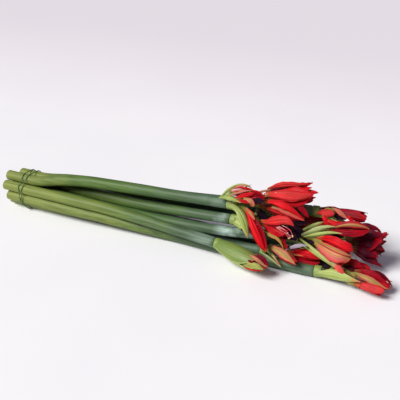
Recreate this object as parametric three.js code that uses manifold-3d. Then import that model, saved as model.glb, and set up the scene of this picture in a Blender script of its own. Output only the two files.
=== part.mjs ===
// A tied bunch of nine cut red amaryllis stems, lying on its side.
// Millimetres. X runs from the cut ends to the flowers, Y to the back, Z up from the surface.
import * as THREE from "three";
import { mergeVertices } from "three/addons/utils/BufferGeometryUtils.js";
import Module from "manifold-3d";

const wasm = await Module();
wasm.setup();

// Driving sizes
const ORIGIN = new THREE.Vector3(316.5, 30, 0);
const GAP = 0.3;
const STEM_RADIUS_TIED = 8.4;
const STEM_RADIUS_FULL = 8.9;
const STEM_RADIUS_TOP = 7.8;
const STEM_WIDENS = [60, 150];
const STEM_NARROWS = [200, 380];
const STEM_SIDES = 10;
const STEM_STEP = 62;
const STEM_TURN = Math.PI / STEM_SIDES;
const BORE_RADIUS = 5.5;
const BORE_DEPTH = 45;
const BORE_END = 3;
const NECK_RADIUS = 6.3;
const NECK_LENGTH = 12;
const NECK_DOME = 0.6;
const COLLAR_INNER = NECK_RADIUS + GAP;
const COLLAR_OUTER = 8.0;
const PEDICEL_RADIUS = 2.5;
const OVARY_RADIUS = 4.4;
const OVARY_LENGTH = 12;
const PEDICEL_SIDES = 5;
const PEDICEL_SUNK = 1;
const PEDICEL_RISE = 0.45;
const PEDICEL_BEND = 0.4;
const OVARY_SHARE = 0.6;
const OVARY_WIDEST = 0.45;
const TUBE_RADIUS = 3.0;
const TUBE_MOUTH = 4.8;
const TUBE_LENGTH = 8;
const PETAL_THICKNESS = 0.8;
const PETAL_ROOT = TUBE_LENGTH - 1.2;
const PETAL_TIP = 0.5;
const PETAL_LAP = 0.3;
const PETALS_A_LAYER = 3;
const OUTER_STEPS = 4;
const WAVED_STEPS = 3;
const PLAIN_STEPS = 2;
const PETAL_WIDTH_STEPS = 2;
const PETAL_SHOULDER = 1.15;
const PETAL_BLUNTNESS = 0.75;
const CLAW = 0.6;
const CLAW_RADIUS = 3.1;
const CLAW_ENDS = 0.25;
const TIP_RADIUS = 2.4;
const INSET_AT_TIP = 0.6;
const WIDEST = 0.97;
const WAVES = 1.3;
const WAVE_A_PETAL = 0.37;
const WAVE_A_LAYER = 0.21;
const WIDTH_BY_FULLNESS = 0.4;
const LAYER_SHORTER = 0.05;
const PETAL_SHORTER = 0.03;
const EDGE_THINNING = 0.12;
const VALVE_THICKNESS = 1.0;
const VALVE_SEAT = 7.3;
const VALVE_ROOT = 5.0;
const VALVE_STEPS = 4;
const VALVE_WIDTH_STEPS = 2;
const VALVE_FOOT = 0.7 * NECK_LENGTH;
const VALVE_LEAD = 14.4;
const VALVE_POINT = 2.4;
const VALVE_GUTTER = 0.8;
const SLOPE_STEP = 0.01;
const POD_STEPS = 5;
const POD_WIDTH_STEPS = 6;
const POD_POINT = 5;
const POD_LAP = 0.9;
const STAMENS = 5;
const STAMEN_SPREAD = 0.05;
const STAMEN_REACH = 0.78;
const STAMEN_SHORTER = 0.03;
const STAMEN_RADIUS = 0.45;
const ANTHER_RADIUS = 1.1;
const ANTHER_LENGTH = 4;
const CORD_RADIUS = 0.85;
const CORD_SIDES = 4;
const TIE_X = 42;
const TIE_SPACING = 12;
const TIE_CROSSING_SLOT = 5;
const TIE_HUMP = 0.11;
const TIE_LIFT = 2.3 * CORD_RADIUS;

// The bundle at the tie: eight stems in a ring round the ninth
const RING_RADIUS = 22.6;
const RING_STEPS = 8;
const RING_FIRST = Math.PI / RING_STEPS;
const FACET_APOTHEM = Math.cos(Math.PI / STEM_SIDES);
const TIE_HEIGHT = 2 * CORD_RADIUS + GAP + STEM_RADIUS_TIED + RING_RADIUS * Math.sin(3 * RING_FIRST);
const STRAIGHT_TO = 55;
const FLOOR = STEM_RADIUS_TOP * FACET_APOTHEM;

const COLOURS = {
  stem: new THREE.Color(0x587d3f),
  spathe: new THREE.Color(0x9aad55),
  bloom: new THREE.Color(0xd8281c),
  stamen: new THREE.Color(0xd9737d),
  tie: new THREE.Color(0x2f4a2a),
};

// Each stem: its slot in the ring (none for the middle one), where it is cut, the points that it passes
// and the middle of its umbel
const STEMS = {
  a: {
    slot: 2,
    cut: 2,
    via: [[110, -4, 62], [160, 0, 68], [230, 5, 70.8], [310, 10, 73.2]],
    umbel: [406, 14, 77.5],
  },
  b: {
    slot: -1,
    cut: 11,
    via: [[110, 32.5, 23.2], [130, 34.8, 28], [200, 40, 38], [300, 41, 47.5], [365, 49, 48.5]],
    umbel: [440, 57, 50],
  },
  c: {
    slot: 0,
    cut: 6,
    via: [[130, 19.2, 39], [226, 17.8, 39.4], [307, 16, 44.8]],
    umbel: [411, 16, 52.5],
  },
  d: {
    slot: null,
    cut: 0,
    via: [[130, 1, 30], [200, 3, 27.7], [310, 8, 28.6], [396, 11, 33.6]],
    umbel: [495, 26, 43],
  },
  e: {
    slot: 3,
    cut: 4,
    via: [[130, -19, 39.6], [190, -16, 38.3], [245, -15, 35.8], [323, -15, 30.6]],
    umbel: [401, -16, 25.5],
  },
  f: {
    slot: 4,
    cut: 9,
    via: [[130, -18, 21], [200, -13, 19], [250, -8, 15.5], [315, 0, 9.9], [400, 1, 8], [511, 1, 9.5]],
    umbel: [543, 2, 12],
  },
  g: {
    slot: 5,
    cut: 3,
    via: [[130, -2, FLOOR], [200, 5, FLOOR], [315, 18, FLOOR], [400, 21, FLOOR]],
    umbel: [456, 24, 8],
  },
  h: {
    slot: -2,
    cut: 7,
    via: [[130, 17.5, FLOOR], [200, 24, 13], [330, 39, 14], [400, 44, FLOOR]],
    umbel: [505, 55, 14],
  },
  i: {
    slot: 1,
    cut: 15,
    via: [[110, 13.8, 56.8], [160, 17, 60.5], [230, 23, 62], [310, 30, 63.5], [430, 47, 69]],
    umbel: [517, 60, 71],
  },
};

// How far each kind of flower has opened: the angles of its outer and inner petals to the axis, in degrees,
// at the root and at the tip, its layers of three petals, the step from one layer to the next, half a
// petal's width as a share of its length, and how much its edges wave
const HABITS = {
  tight: { outer: [21, -24], inner: [21, -24], layers: 1, step: 1.7, width: 0.16, wave: 0.0 },
  bud: { outer: [21, -24], inner: [18, -22], layers: 2, step: 1.7, width: 0.18, wave: 0.0 },
  loose: { outer: [24, -8], inner: [20, -12], layers: 2, step: 1.7, width: 0.2, wave: 0.8 },
  fat: { outer: [33, -20], inner: [29, -22], layers: 2, step: 1.7, width: 0.28, wave: 0.6 },
  half: { outer: [28, 2], inner: [22, -8], layers: 3, step: 1.5, width: 0.22, wave: 1.8 },
  open: { outer: [25, 33], inner: [17, 12], layers: 3, step: 1.3, width: 0.25, wave: 2.4 },
};

// Each flower: where its tube starts, where its tip is, its habit, fullness and turn about its axis
const BLOOMS = {
  a_curl: { base: [412, 5, 92], tip: [448, 14, 96], habit: "half", full: 1.3, turn: 20 },
  a_hang: { base: [426, 7, 73], tip: [468, -20, 34], habit: "bud", full: 1.0, turn: 40 },
  a_open: { base: [438, 30, 89], tip: [512, 48, 105], habit: "half", full: 0.87, turn: 13 },
  a_slim: { base: [441, 22, 80], tip: [505, 20, 74], habit: "bud", full: 0.8, turn: 0 },
  b_upper: { base: [470, 62, 53], tip: [535, 92, 56], habit: "loose", full: 0.9, turn: 15 },
  b_lower: { base: [468, 66, 36], tip: [522, 98, 24], habit: "bud", full: 1.1, turn: 50 },
  c_half: { base: [444, 12, 60], tip: [494, -4, 58], habit: "half", full: 1.1, turn: 30 },
  c_back: { base: [445, 33, 59], tip: [503, 41, 67], habit: "bud", full: 0.8, turn: 5 },
  d_red: { base: [519, 44, 57], tip: [556, 40, 70], habit: "bud", full: 1.1, turn: 50 },
  d_upper: { base: [538, 29, 60], tip: [592, 36, 71], habit: "bud", full: 1.3, turn: 25 },
  d_fat: { base: [519, 23, 47.5], tip: [574, 11, 34], habit: "fat", full: 1.6, turn: 35 },
  e_front: { base: [418, -25, 17.5], tip: [473, -42.5, 18.5], habit: "tight", full: 0.15, turn: 10 },
  e_middle: { base: [421, -21, 26], tip: [478, -32, 21], habit: "tight", full: 0.15, turn: 30 },
  e_back: { base: [418, -16.5, 19], tip: [475, -30.5, 13.5], habit: "tight", full: 0.15, turn: 55 },
  f_bud: { base: [578, 8, 17], tip: [634.2, 6, 13], habit: "loose", full: 0.8, turn: 0 },
  f_floor: { base: [588, -7, 12.5], tip: [627, -13, 13], habit: "loose", full: 0.8, turn: 45 },
  f_upper: { base: [566, 21, 21], tip: [602, 23, 21], habit: "bud", full: 1.2, turn: 45 },
  g_olive: { base: [470, 2, 30], tip: [512, -19, 27], habit: "bud", full: 1.3, turn: 15 },
  g_red: { base: [483, 24, 16], tip: [536, 16, 22], habit: "bud", full: 2.2, turn: 30 },
  h_open: { base: [556, 62, 37], tip: [616, 59, 38.5], habit: "open", full: 1.1, turn: 45 },
  h_low: { base: [536, 78, 14], tip: [590, 96, 14], habit: "bud", full: 1.1, turn: 20 },
  i_curl: { base: [530, 62, 76], tip: [582, 64, 74], habit: "loose", full: 1.2, turn: 12 },
  i_back: { base: [532, 79, 66], tip: [575, 98, 58], habit: "bud", full: 1.0, turn: 42 },
};

// Each spathe's valves: the side of the neck that it grows from, in degrees from the back over the top,
// its half width, where it bends and where it ends
const VALVES = {
  a: [
    { from: 195, half: 10, bend: [422, -14, 79], tip: [438, -14, 46] },
    { from: 60, half: 4, bend: [408, 26, 103], tip: [427, 19, 110] },
  ],
  b: [
    { from: 100, half: 8, bend: [458, 57, 64], tip: [488, 62, 62] },
    { from: 230, half: 7, bend: [462, 53, 38], tip: [488, 56, 34] },
  ],
  c: [
    { from: 110, half: 6, bend: [428, 20, 66], tip: [442, 21, 69] },
    { from: 240, half: 6, bend: [426, 3, 46], tip: [442, -2, 44] },
  ],
  d: [
    { from: 215, half: 4, bend: [520, 0, 38], tip: [574, -7, 24] },
    { from: 330, half: 6, bend: [520, 46, 38], tip: [548, 52, 44] },
  ],
  e: [],
  f: [
    { from: 178, half: 11, bend: [568, -14, 21], tip: [596, -13, 21] },
    { from: 320, half: 7, bend: [568, 14, 8], tip: [596, 21, 8] },
  ],
  g: [
    { from: 150, half: 4, lead: 5.4, bend: [456, -4, 42], tip: [489, -18, 17] },
    { from: 60, half: 4, bend: [480, 22, 34], tip: [512, 8, 36] },
  ],
  h: [
    { from: 250, half: 8, bend: [524, 50, 8], tip: [552, 48, 8] },
    { from: 110, half: 7, bend: [522, 48, 30], tip: [544, 44, 33] },
  ],
  i: [
    { from: 300, half: 6, bend: [533, 68, 58], tip: [557, 74, 56] },
    { from: 230, half: 6, bend: [533, 52, 66], tip: [555, 50, 66] },
  ],
};
const CLOSED_SPATHE = {
  bend: [431, -24, 20],
  tip: [463, -33, 19],
  belly: 19,
  mouth: 9.5,
  spread: 84,
  turns: [100, 280],
};
const WITH_STAMENS = ["c_half", "h_open"];

const rad = THREE.MathUtils.degToRad;
const vec = (p) => new THREE.Vector3(...p);
const UP = new THREE.Vector3(0, 0, 1);

// A frame on a line: the point, the way ahead, level to the right, and up
function frameOn(point, ahead) {
  const along = ahead.clone().normalize();
  const side = new THREE.Vector3().crossVectors(along, UP).normalize();
  const up = new THREE.Vector3().crossVectors(side, along);
  return { point, along, side, up };
}

function ringPoint(slot) {
  if (slot === null) {
    return [0, TIE_HEIGHT];
  }
  const angle = RING_FIRST + (slot * 2 * Math.PI) / RING_STEPS;
  return [RING_RADIUS * Math.cos(angle), TIE_HEIGHT + RING_RADIUS * Math.sin(angle)];
}

// The middle line of a stem: straight through the tie, then smooth through its points to the umbel
class StemLine extends THREE.Curve {
  constructor(stem) {
    super();
    const held = ringPoint(stem.slot);
    this.knots = [[stem.cut, ...held], [STRAIGHT_TO, ...held], ...stem.via, stem.umbel].map(vec);
    this.start = stem.cut;
    this.end = stem.umbel[0];
  }

  // Slope of y and z along x at a knot
  slope(i) {
    if (i <= 1) {
      return new THREE.Vector3(1, 0, 0);
    }
    const before = this.knots[i - 1];
    const after = this.knots[Math.min(i + 1, this.knots.length - 1)];
    const step = after.clone().sub(before);
    return step.divideScalar(step.x);
  }

  // The line's point at x, never so low that the stem would sink into the surface
  at(x) {
    let i = 0;
    while (i < this.knots.length - 2 && x > this.knots[i + 1].x) {
      i += 1;
    }
    const [p, q] = [this.knots[i], this.knots[i + 1]];
    const width = q.x - p.x;
    const t = (x - p.x) / width;
    const result = p.clone().multiplyScalar(2 * t ** 3 - 3 * t ** 2 + 1);
    result.addScaledVector(this.slope(i), width * (t ** 3 - 2 * t ** 2 + t));
    result.addScaledVector(q, 3 * t ** 2 - 2 * t ** 3);
    result.addScaledVector(this.slope(i + 1), width * (t ** 3 - t ** 2));
    result.z = Math.max(result.z, stemRadius(x) * FACET_APOTHEM);
    return result;
  }

  getPoint(t, target = new THREE.Vector3()) {
    return target.copy(this.at(this.start + t * (this.end - this.start)));
  }

  frame(x) {
    const ahead = this.at(x + 0.5).sub(this.at(x - 0.5));
    return frameOn(this.at(x), ahead);
  }
}

function stemRadius(x) {
  const wider = THREE.MathUtils.smoothstep(x, ...STEM_WIDENS) * (STEM_RADIUS_FULL - STEM_RADIUS_TIED);
  const narrower = THREE.MathUtils.smoothstep(x, ...STEM_NARROWS) * (STEM_RADIUS_FULL - STEM_RADIUS_TOP);
  return STEM_RADIUS_TIED + wider - narrower;
}

function signedVolume(position, index) {
  const [a, b, c] = [new THREE.Vector3(), new THREE.Vector3(), new THREE.Vector3()];
  let total = 0;
  for (let i = 0; i < index.length; i += 3) {
    a.fromArray(position, 3 * index[i]);
    b.fromArray(position, 3 * index[i + 1]);
    c.fromArray(position, 3 * index[i + 2]);
    total += a.dot(b.cross(c)) / 6;
  }
  return total;
}

// A closed mesh as a solid, turned to face out
function solidOf(geometry) {
  const bare = geometry.clone();
  bare.deleteAttribute("normal");
  bare.deleteAttribute("uv");
  const merged = mergeVertices(bare, 1e-4);
  const vertProperties = new Float32Array(merged.attributes.position.array);
  const triVerts = Uint32Array.from(merged.index.array);
  if (signedVolume(vertProperties, triVerts) < 0) {
    triVerts.reverse();
  }
  const mesh = new wasm.Mesh({ numProp: 3, vertProperties, triVerts });
  return new wasm.Manifold(mesh);
}

// The parts of a node fused, without loose scraps and with sealed hollows filled
function fuse(solids) {
  const joined = solids.reduce((whole, solid) => whole.add(solid));
  const pieces = joined.decompose();
  pieces.sort((p, q) => q.volume() - p.volume());
  return pieces[0];
}

// A turned profile of [radius, distance] points, bent along a line
function bentLathe(profile, sides, frameAt, turn = 0) {
  const points = profile.map(([r, s]) => new THREE.Vector2(r, s));
  const lathe = new THREE.LatheGeometry(points, sides);
  const position = lathe.attributes.position;
  for (let i = 0; i < position.count; i += 1) {
    const [x, s, z] = [position.getX(i), position.getY(i), position.getZ(i)];
    const frame = frameAt(s);
    const point = frame.point.clone();
    point.addScaledVector(frame.side, x * Math.cos(turn) - z * Math.sin(turn));
    point.addScaledVector(frame.up, x * Math.sin(turn) + z * Math.cos(turn));
    position.setXYZ(i, point.x, point.y, point.z);
  }
  return solidOf(lathe);
}

// A thin curved sheet, both faces split alike. surface(u, v) is its middle: u runs from root to tip,
// v from -1 to 1 across
function blade(surface, thickness, lengthSteps, widthSteps) {
  const corners = [];
  const row = widthSteps + 1;
  const face = row * (lengthSteps + 1);
  for (const way of [1, -1]) {
    for (let k = 0; k < face; k += 1) {
      const u = Math.floor(k / row) / lengthSteps;
      const v = (2 * (k % row)) / widthSteps - 1;
      const along = surface(u + SLOPE_STEP, v).sub(surface(u - SLOPE_STEP, v));
      const across = surface(u, v + SLOPE_STEP).sub(surface(u, v - SLOPE_STEP));
      const half = thickness * (0.5 - EDGE_THINNING * v * v);
      const point = surface(u, v).addScaledVector(along.cross(across).normalize(), way * half);
      corners.push(...point.toArray());
    }
  }
  const index = [];
  for (let k = 0; k < face - row; k += 1) {
    if (k % row < widthSteps) {
      index.push(k, k + 1, k + row + 1, k, k + row + 1, k + row);
      index.push(face + k, face + k + row + 1, face + k + 1, face + k, face + k + row, face + k + row + 1);
    }
  }
  const rim = [];
  for (let j = 0; j < widthSteps; j += 1) {
    rim.push(j);
  }
  for (let i = 0; i < lengthSteps; i += 1) {
    rim.push(i * row + widthSteps);
  }
  for (let j = widthSteps; j > 0; j -= 1) {
    rim.push(lengthSteps * row + j);
  }
  for (let i = lengthSteps; i > 0; i -= 1) {
    rim.push(i * row);
  }
  rim.forEach((p, n) => {
    const q = rim[(n + 1) % rim.length];
    index.push(p, face + p, face + q, p, face + q, q);
  });
  const geometry = new THREE.BufferGeometry();
  geometry.setAttribute("position", new THREE.Float32BufferAttribute(corners, 3));
  geometry.setIndex(index);
  return solidOf(geometry);
}

// The way out from a line at an angle counted from the back over the top, in degrees
function outward(frame, angle) {
  const out = frame.side.clone().multiplyScalar(-Math.cos(rad(angle)));
  return out.addScaledVector(frame.up, Math.sin(rad(angle)));
}

function bloomAxis(bloom) {
  const [base, tip] = [vec(bloom.base), vec(bloom.tip)];
  const curve = new THREE.LineCurve3(base, tip);
  const length = base.distanceTo(tip);
  return { curve, length, frame: (s) => frameOn(curve.getPoint(s / length), curve.getTangent(s / length)) };
}

// A petal's middle surface, on a flower's axis
function petalSurface(axis, petal) {
  const [first, last] = petal.angles.map(rad);
  return (u, v) => {
    const angle = first + (last - first) * u;
    const swell = (Math.cos(first) - Math.cos(angle)) / (last - first);
    const reach = (Math.sin(angle) - Math.sin(first)) / (last - first);
    const parted = THREE.MathUtils.smoothstep(u, 0, CLAW_ENDS);
    const wide = CLAW_RADIUS + petal.full * petal.length * swell;
    const round = wide - (1 - INSET_AT_TIP) * petal.inset * parted;
    const radius = Math.max(round, TIP_RADIUS) - INSET_AT_TIP * petal.inset;
    const outline = Math.max(Math.sin(Math.PI * Math.max(u, 0) ** PETAL_SHOULDER), 0) ** PETAL_BLUNTNESS;
    const half = petal.half * outline + PETAL_TIP + CLAW * (1 - u);
    const spread = Math.min(half / radius, WIDEST);
    const ripple = Math.sin(2 * Math.PI * (WAVES * u + petal.phase) + 2 * v) * petal.wave * u * v * v;
    const away = radius + PETAL_LAP * parted * v + ripple;
    const turn = petal.turn + v * spread;
    const frame = axis.frame(PETAL_ROOT + petal.length * reach);
    const point = frame.point.clone().addScaledVector(frame.side, away * Math.cos(turn));
    return point.addScaledVector(frame.up, away * Math.sin(turn));
  };
}

function bloomSolid(bloom) {
  const axis = bloomAxis(bloom);
  const habit = HABITS[bloom.habit];
  const tube = [[0, 0], [TUBE_RADIUS, 0], [TUBE_MOUTH, TUBE_LENGTH], [0, TUBE_LENGTH]];
  const solids = [bentLathe(tube, PEDICEL_SIDES, axis.frame)];
  const inmost = Math.max(habit.layers - 1, 1);
  const innerSteps = habit.wave > 0 ? WAVED_STEPS : PLAIN_STEPS;
  for (let layer = 0; layer < habit.layers; layer += 1) {
    const share = layer / inmost;
    for (let k = 0; k < PETALS_A_LAYER; k += 1) {
      const surface = petalSurface(axis, {
        angles: habit.outer.map((angle, end) => angle + share * (habit.inner[end] - angle)),
        length: (axis.length - PETAL_ROOT) * (1 - LAYER_SHORTER * layer - PETAL_SHORTER * k),
        half: habit.width * axis.length * bloom.full ** WIDTH_BY_FULLNESS,
        inset: habit.step * layer,
        full: bloom.full,
        wave: habit.wave,
        phase: WAVE_A_PETAL * k + WAVE_A_LAYER * layer + bloom.turn / 90,
        turn: rad(bloom.turn + 120 * k + 60 * layer),
      });
      const steps = layer === 0 ? OUTER_STEPS : innerSteps;
      solids.push(blade(surface, PETAL_THICKNESS, steps, PETAL_WIDTH_STEPS));
    }
  }
  return fuse(solids);
}

// A flower stalk with its ovary, from the umbel to just short of the flower
function pedicelSolid(line, bloom) {
  const umbel = line.frame(line.end);
  const axis = bloomAxis(bloom).frame(0);
  const start = umbel.point.clone().addScaledVector(umbel.along, -PEDICEL_SUNK);
  const end = axis.point.clone().addScaledVector(axis.along, -GAP);
  const reach = start.distanceTo(end);
  const curve = new THREE.CubicBezierCurve3(
    start,
    start.clone().addScaledVector(umbel.along, PEDICEL_RISE * reach),
    end.clone().addScaledVector(axis.along, -PEDICEL_BEND * reach),
    end,
  );
  const length = curve.getLength();
  const ovary = Math.min(OVARY_LENGTH, OVARY_SHARE * length);
  const profile = [
    [0, 0],
    [PEDICEL_RADIUS, 0.5],
    [PEDICEL_RADIUS, 0.5 * (length - ovary)],
    [PEDICEL_RADIUS, length - ovary],
    [OVARY_RADIUS, length - OVARY_WIDEST * ovary],
    [TUBE_RADIUS, length],
    [0, length],
  ];
  const frame = (s) => {
    const share = Math.min(s / length, 1);
    return frameOn(curve.getPointAt(share), curve.getTangentAt(share));
  };
  return bentLathe(profile, PEDICEL_SIDES, frame);
}

function stemSolid(name) {
  const stem = STEMS[name];
  const line = new StemLine(stem);
  const shoulder = line.end - NECK_LENGTH;
  const profile = [
    [0, stem.cut + BORE_DEPTH],
    [BORE_RADIUS, stem.cut + BORE_DEPTH - BORE_END],
    [BORE_RADIUS, stem.cut],
    [stemRadius(stem.cut), stem.cut],
    [STEM_RADIUS_TIED, STRAIGHT_TO],
  ];
  const steps = Math.round((shoulder - STRAIGHT_TO) / STEM_STEP);
  for (let i = 1; i <= steps; i += 1) {
    const x = STRAIGHT_TO + (i * (shoulder - STRAIGHT_TO)) / steps;
    profile.push([stemRadius(x), x]);
  }
  profile.push([NECK_RADIUS, shoulder + 0.5], [NECK_RADIUS, line.end - 1]);
  profile.push([NECK_DOME * NECK_RADIUS, line.end + 2], [0, line.end + 3]);
  const solids = [bentLathe(profile, STEM_SIDES, (x) => line.frame(x), STEM_TURN)];
  for (const [key, bloom] of Object.entries(BLOOMS)) {
    if (key.startsWith(name)) {
      solids.push(pedicelSolid(line, bloom));
    }
  }
  return fuse(solids);
}

function collarSolid(line) {
  const [near, far] = [line.end - NECK_LENGTH + 0.8, line.end - 2];
  const ring = [
    [COLLAR_INNER, near],
    [COLLAR_OUTER, near],
    [COLLAR_OUTER, far],
    [COLLAR_INNER, far],
    [COLLAR_INNER, near],
  ];
  return bentLathe(ring, STEM_SIDES, (x) => line.frame(x), STEM_TURN);
}

// A valve: a pointed blade, bent round the collar at its root and guttered along its length
function valveSolid(line, valve) {
  const foot = line.frame(line.end - VALVE_FOOT);
  const out = outward(foot, valve.from);
  const root = foot.point.clone().addScaledVector(out, VALVE_SEAT);
  const ahead = root.clone().addScaledVector(foot.along, valve.lead ?? VALVE_LEAD);
  const curve = new THREE.CubicBezierCurve3(root, ahead, vec(valve.bend), vec(valve.tip));
  const surface = (u, v) => {
    const along = curve.getTangent(u);
    const away = out.clone().addScaledVector(along, -out.dot(along)).normalize();
    const side = new THREE.Vector3().crossVectors(along, away);
    const gutter = THREE.MathUtils.lerp(VALVE_SEAT, VALVE_GUTTER * valve.half, u);
    const body = THREE.MathUtils.lerp(VALVE_ROOT, valve.half, THREE.MathUtils.smoothstep(u, 0.15, 0.5));
    const half = body * (1 - Math.max(u, 0) ** VALVE_POINT) + PETAL_TIP;
    const spread = half / gutter;
    const point = curve.getPoint(u).addScaledVector(away, gutter * (Math.cos(v * spread) - 1));
    return point.addScaledVector(side, gutter * Math.sin(v * spread));
  };
  return blade(surface, VALVE_THICKNESS, VALVE_STEPS, VALVE_WIDTH_STEPS);
}

// The closed spathe: two broad valves that meet round the buds
function closedValve(line, turn) {
  const foot = line.frame(line.end - VALVE_FOOT);
  const [bend, tip] = [vec(CLOSED_SPATHE.bend), vec(CLOSED_SPATHE.tip)];
  const curve = new THREE.QuadraticBezierCurve3(foot.point, bend, tip);
  const surface = (u, v) => {
    const frame = frameOn(curve.getPoint(u), curve.getTangent(u));
    const foreAndAft = VALVE_SEAT * (1 - u) ** 2 + CLOSED_SPATHE.mouth * u * u;
    const round = foreAndAft + 2 * CLOSED_SPATHE.belly * u * (1 - u);
    const lap = POD_LAP * v * THREE.MathUtils.smoothstep(u, 0, 0.3);
    const spread = CLOSED_SPATHE.spread * (1 - Math.max(u, 0) ** POD_POINT) + 0.05;
    const out = outward(frame, turn + spread * v);
    return frame.point.clone().addScaledVector(out, round + lap);
  };
  return blade(surface, VALVE_THICKNESS, POD_STEPS, POD_WIDTH_STEPS);
}

function spatheSolid(name) {
  const line = new StemLine(STEMS[name]);
  const valves = VALVES[name].map((valve) => valveSolid(line, valve));
  if (valves.length === 0) {
    valves.push(...CLOSED_SPATHE.turns.map((turn) => closedValve(line, turn)));
  }
  return fuse([collarSolid(line), ...valves]);
}

// The stamens of an open flower, joined at their feet
function stamenSolid(bloom) {
  const axis = bloomAxis(bloom);
  const foot = TUBE_LENGTH + GAP;
  const solids = [bentLathe([[0, foot], [1, foot], [1, foot + 1.5], [0, foot + 1.5]], 6, axis.frame)];
  for (let k = 0; k < STAMENS; k += 1) {
    const turn = (k * 2 * Math.PI) / STAMENS;
    const length = axis.length * (STAMEN_REACH - STAMEN_SHORTER * (k % 3)) - foot;
    const frame = (s) => {
      const place = axis.frame(foot + 0.6 + s);
      const away = 0.5 + STAMEN_SPREAD * s;
      place.point.addScaledVector(place.side, away * Math.cos(turn));
      place.point.addScaledVector(place.up, away * Math.sin(turn));
      return place;
    };
    const profile = [
      [0, 0],
      [STAMEN_RADIUS, 0],
      [STAMEN_RADIUS, length - ANTHER_LENGTH],
      [ANTHER_RADIUS, length - 0.6 * ANTHER_LENGTH],
      [0, length],
    ];
    solids.push(bentLathe(profile, 3, frame));
  }
  return fuse(solids);
}

// The cord: one endless loop led twice round the ring of stems, crossing itself at the lower front
function tieSolid() {
  const points = [];
  const out = [];
  const reach = STEM_RADIUS_TIED + GAP + CORD_RADIUS;
  for (let turn = 0; turn < 2; turn += 1) {
    for (let k = 0; k < RING_STEPS; k += 1) {
      const slot = TIE_CROSSING_SLOT + k;
      const [y, z] = ringPoint(slot);
      for (const corner of [-1, 0, 1]) {
        const angle = RING_FIRST * (1 + 2 * slot + corner);
        const round = (k + 0.5 + corner / 2) / RING_STEPS;
        const offset = 0.5 * TIE_SPACING * Math.sin(Math.PI * (turn + round));
        const near = Math.max(0, 1 - Math.min(round, 1 - round) / TIE_HUMP);
        const isOver = (turn === 0) === round < 0.5;
        const lift = isOver ? TIE_LIFT * THREE.MathUtils.smoothstep(near, 0, 1) : 0;
        const away = reach + lift;
        const direction = new THREE.Vector3(0, Math.cos(angle), Math.sin(angle));
        points.push(new THREE.Vector3(TIE_X + offset, y, z).addScaledVector(direction, away));
        out.push(direction);
      }
    }
  }
  const torus = new THREE.TorusGeometry(1, 0.1, CORD_SIDES, points.length);
  const position = torus.attributes.position;
  for (let i = 0; i < position.count; i += 1) {
    const step = (i % (points.length + 1)) % points.length;
    const angle = (Math.floor(i / (points.length + 1)) * 2 * Math.PI) / CORD_SIDES;
    const ahead = points[(step + 1) % points.length].clone().sub(points.at(step - 1));
    const side = new THREE.Vector3().crossVectors(ahead, out[step]).normalize();
    const point = points[step].clone().addScaledVector(out[step], CORD_RADIUS * Math.cos(angle));
    point.addScaledVector(side, CORD_RADIUS * Math.sin(angle));
    position.setXYZ(i, point.x, point.y, point.z);
  }
  return solidOf(torus);
}

function meshOf(name, solid, material) {
  const { vertProperties, triVerts } = solid.getMesh();
  const geometry = new THREE.BufferGeometry();
  geometry.setAttribute("position", new THREE.BufferAttribute(vertProperties, 3));
  geometry.setIndex(new THREE.BufferAttribute(triVerts, 1));
  geometry.computeVertexNormals();
  const mesh = new THREE.Mesh(geometry, material);
  mesh.name = name;
  return mesh;
}

function finish(color, roughness) {
  return new THREE.MeshStandardMaterial({ color, roughness, metalness: 0 });
}

const bunch = new THREE.Group();
for (const name of Object.keys(STEMS)) {
  bunch.add(meshOf(`stem_${name}`, stemSolid(name), finish(COLOURS.stem, 0.45)));
  bunch.add(meshOf(`spathe_${name}`, spatheSolid(name), finish(COLOURS.spathe, 0.5)));
}
for (const [name, bloom] of Object.entries(BLOOMS)) {
  bunch.add(meshOf(`bloom_${name}`, bloomSolid(bloom), finish(COLOURS.bloom, 0.5)));
}
for (const name of WITH_STAMENS) {
  bunch.add(meshOf(`stamens_${name}`, stamenSolid(BLOOMS[name]), finish(COLOURS.stamen, 0.5)));
}
bunch.add(meshOf("tie", tieSolid(), finish(COLOURS.tie, 0.7)));
bunch.position.copy(ORIGIN).negate();

export default bunch;
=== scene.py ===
"""The looks of a tied bunch of cut red amaryllis that lies on its side.

Places in the tables are millimetres along the bunch: X from the cut ends to the flowers, Y to the back,
Z up from the surface. ORIGIN takes them to the part's own frame.
"""

from __future__ import annotations

import logging
import math
import random
from collections.abc import Callable, Sequence
from dataclasses import dataclass, field
from enum import Enum

import bmesh
import bpy
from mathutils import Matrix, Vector

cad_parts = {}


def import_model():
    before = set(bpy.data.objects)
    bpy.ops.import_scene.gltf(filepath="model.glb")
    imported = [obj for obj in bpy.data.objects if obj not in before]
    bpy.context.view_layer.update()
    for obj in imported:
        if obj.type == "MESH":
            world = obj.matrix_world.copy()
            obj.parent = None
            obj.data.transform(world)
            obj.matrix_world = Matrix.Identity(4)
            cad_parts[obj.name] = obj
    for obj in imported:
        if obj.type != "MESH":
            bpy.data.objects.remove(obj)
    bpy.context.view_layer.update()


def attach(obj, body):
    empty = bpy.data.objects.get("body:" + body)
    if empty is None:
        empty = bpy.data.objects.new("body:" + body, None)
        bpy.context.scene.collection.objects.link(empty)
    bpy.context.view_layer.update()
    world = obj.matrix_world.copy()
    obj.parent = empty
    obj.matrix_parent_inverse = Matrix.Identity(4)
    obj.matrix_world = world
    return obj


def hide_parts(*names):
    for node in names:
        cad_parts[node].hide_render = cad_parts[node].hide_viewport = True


LOG = logging.getLogger("amaryllis")

MM = 0.001
ORIGIN = Vector((316.5, 30.0, 0.0))
UP = Vector((0.0, 0.0, 1.0))
FRONT = Vector((0.41, -0.8, 0.44))
BODY = "root"

Colour = tuple[float, float, float]
Point = tuple[float, float, float]
Span = tuple[float, float]
Ramp = tuple[float, float, float, float]
Surface = Callable[[float, float], Vector]
NOISE_SPAN: Span = (0.3, 0.7)


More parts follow.
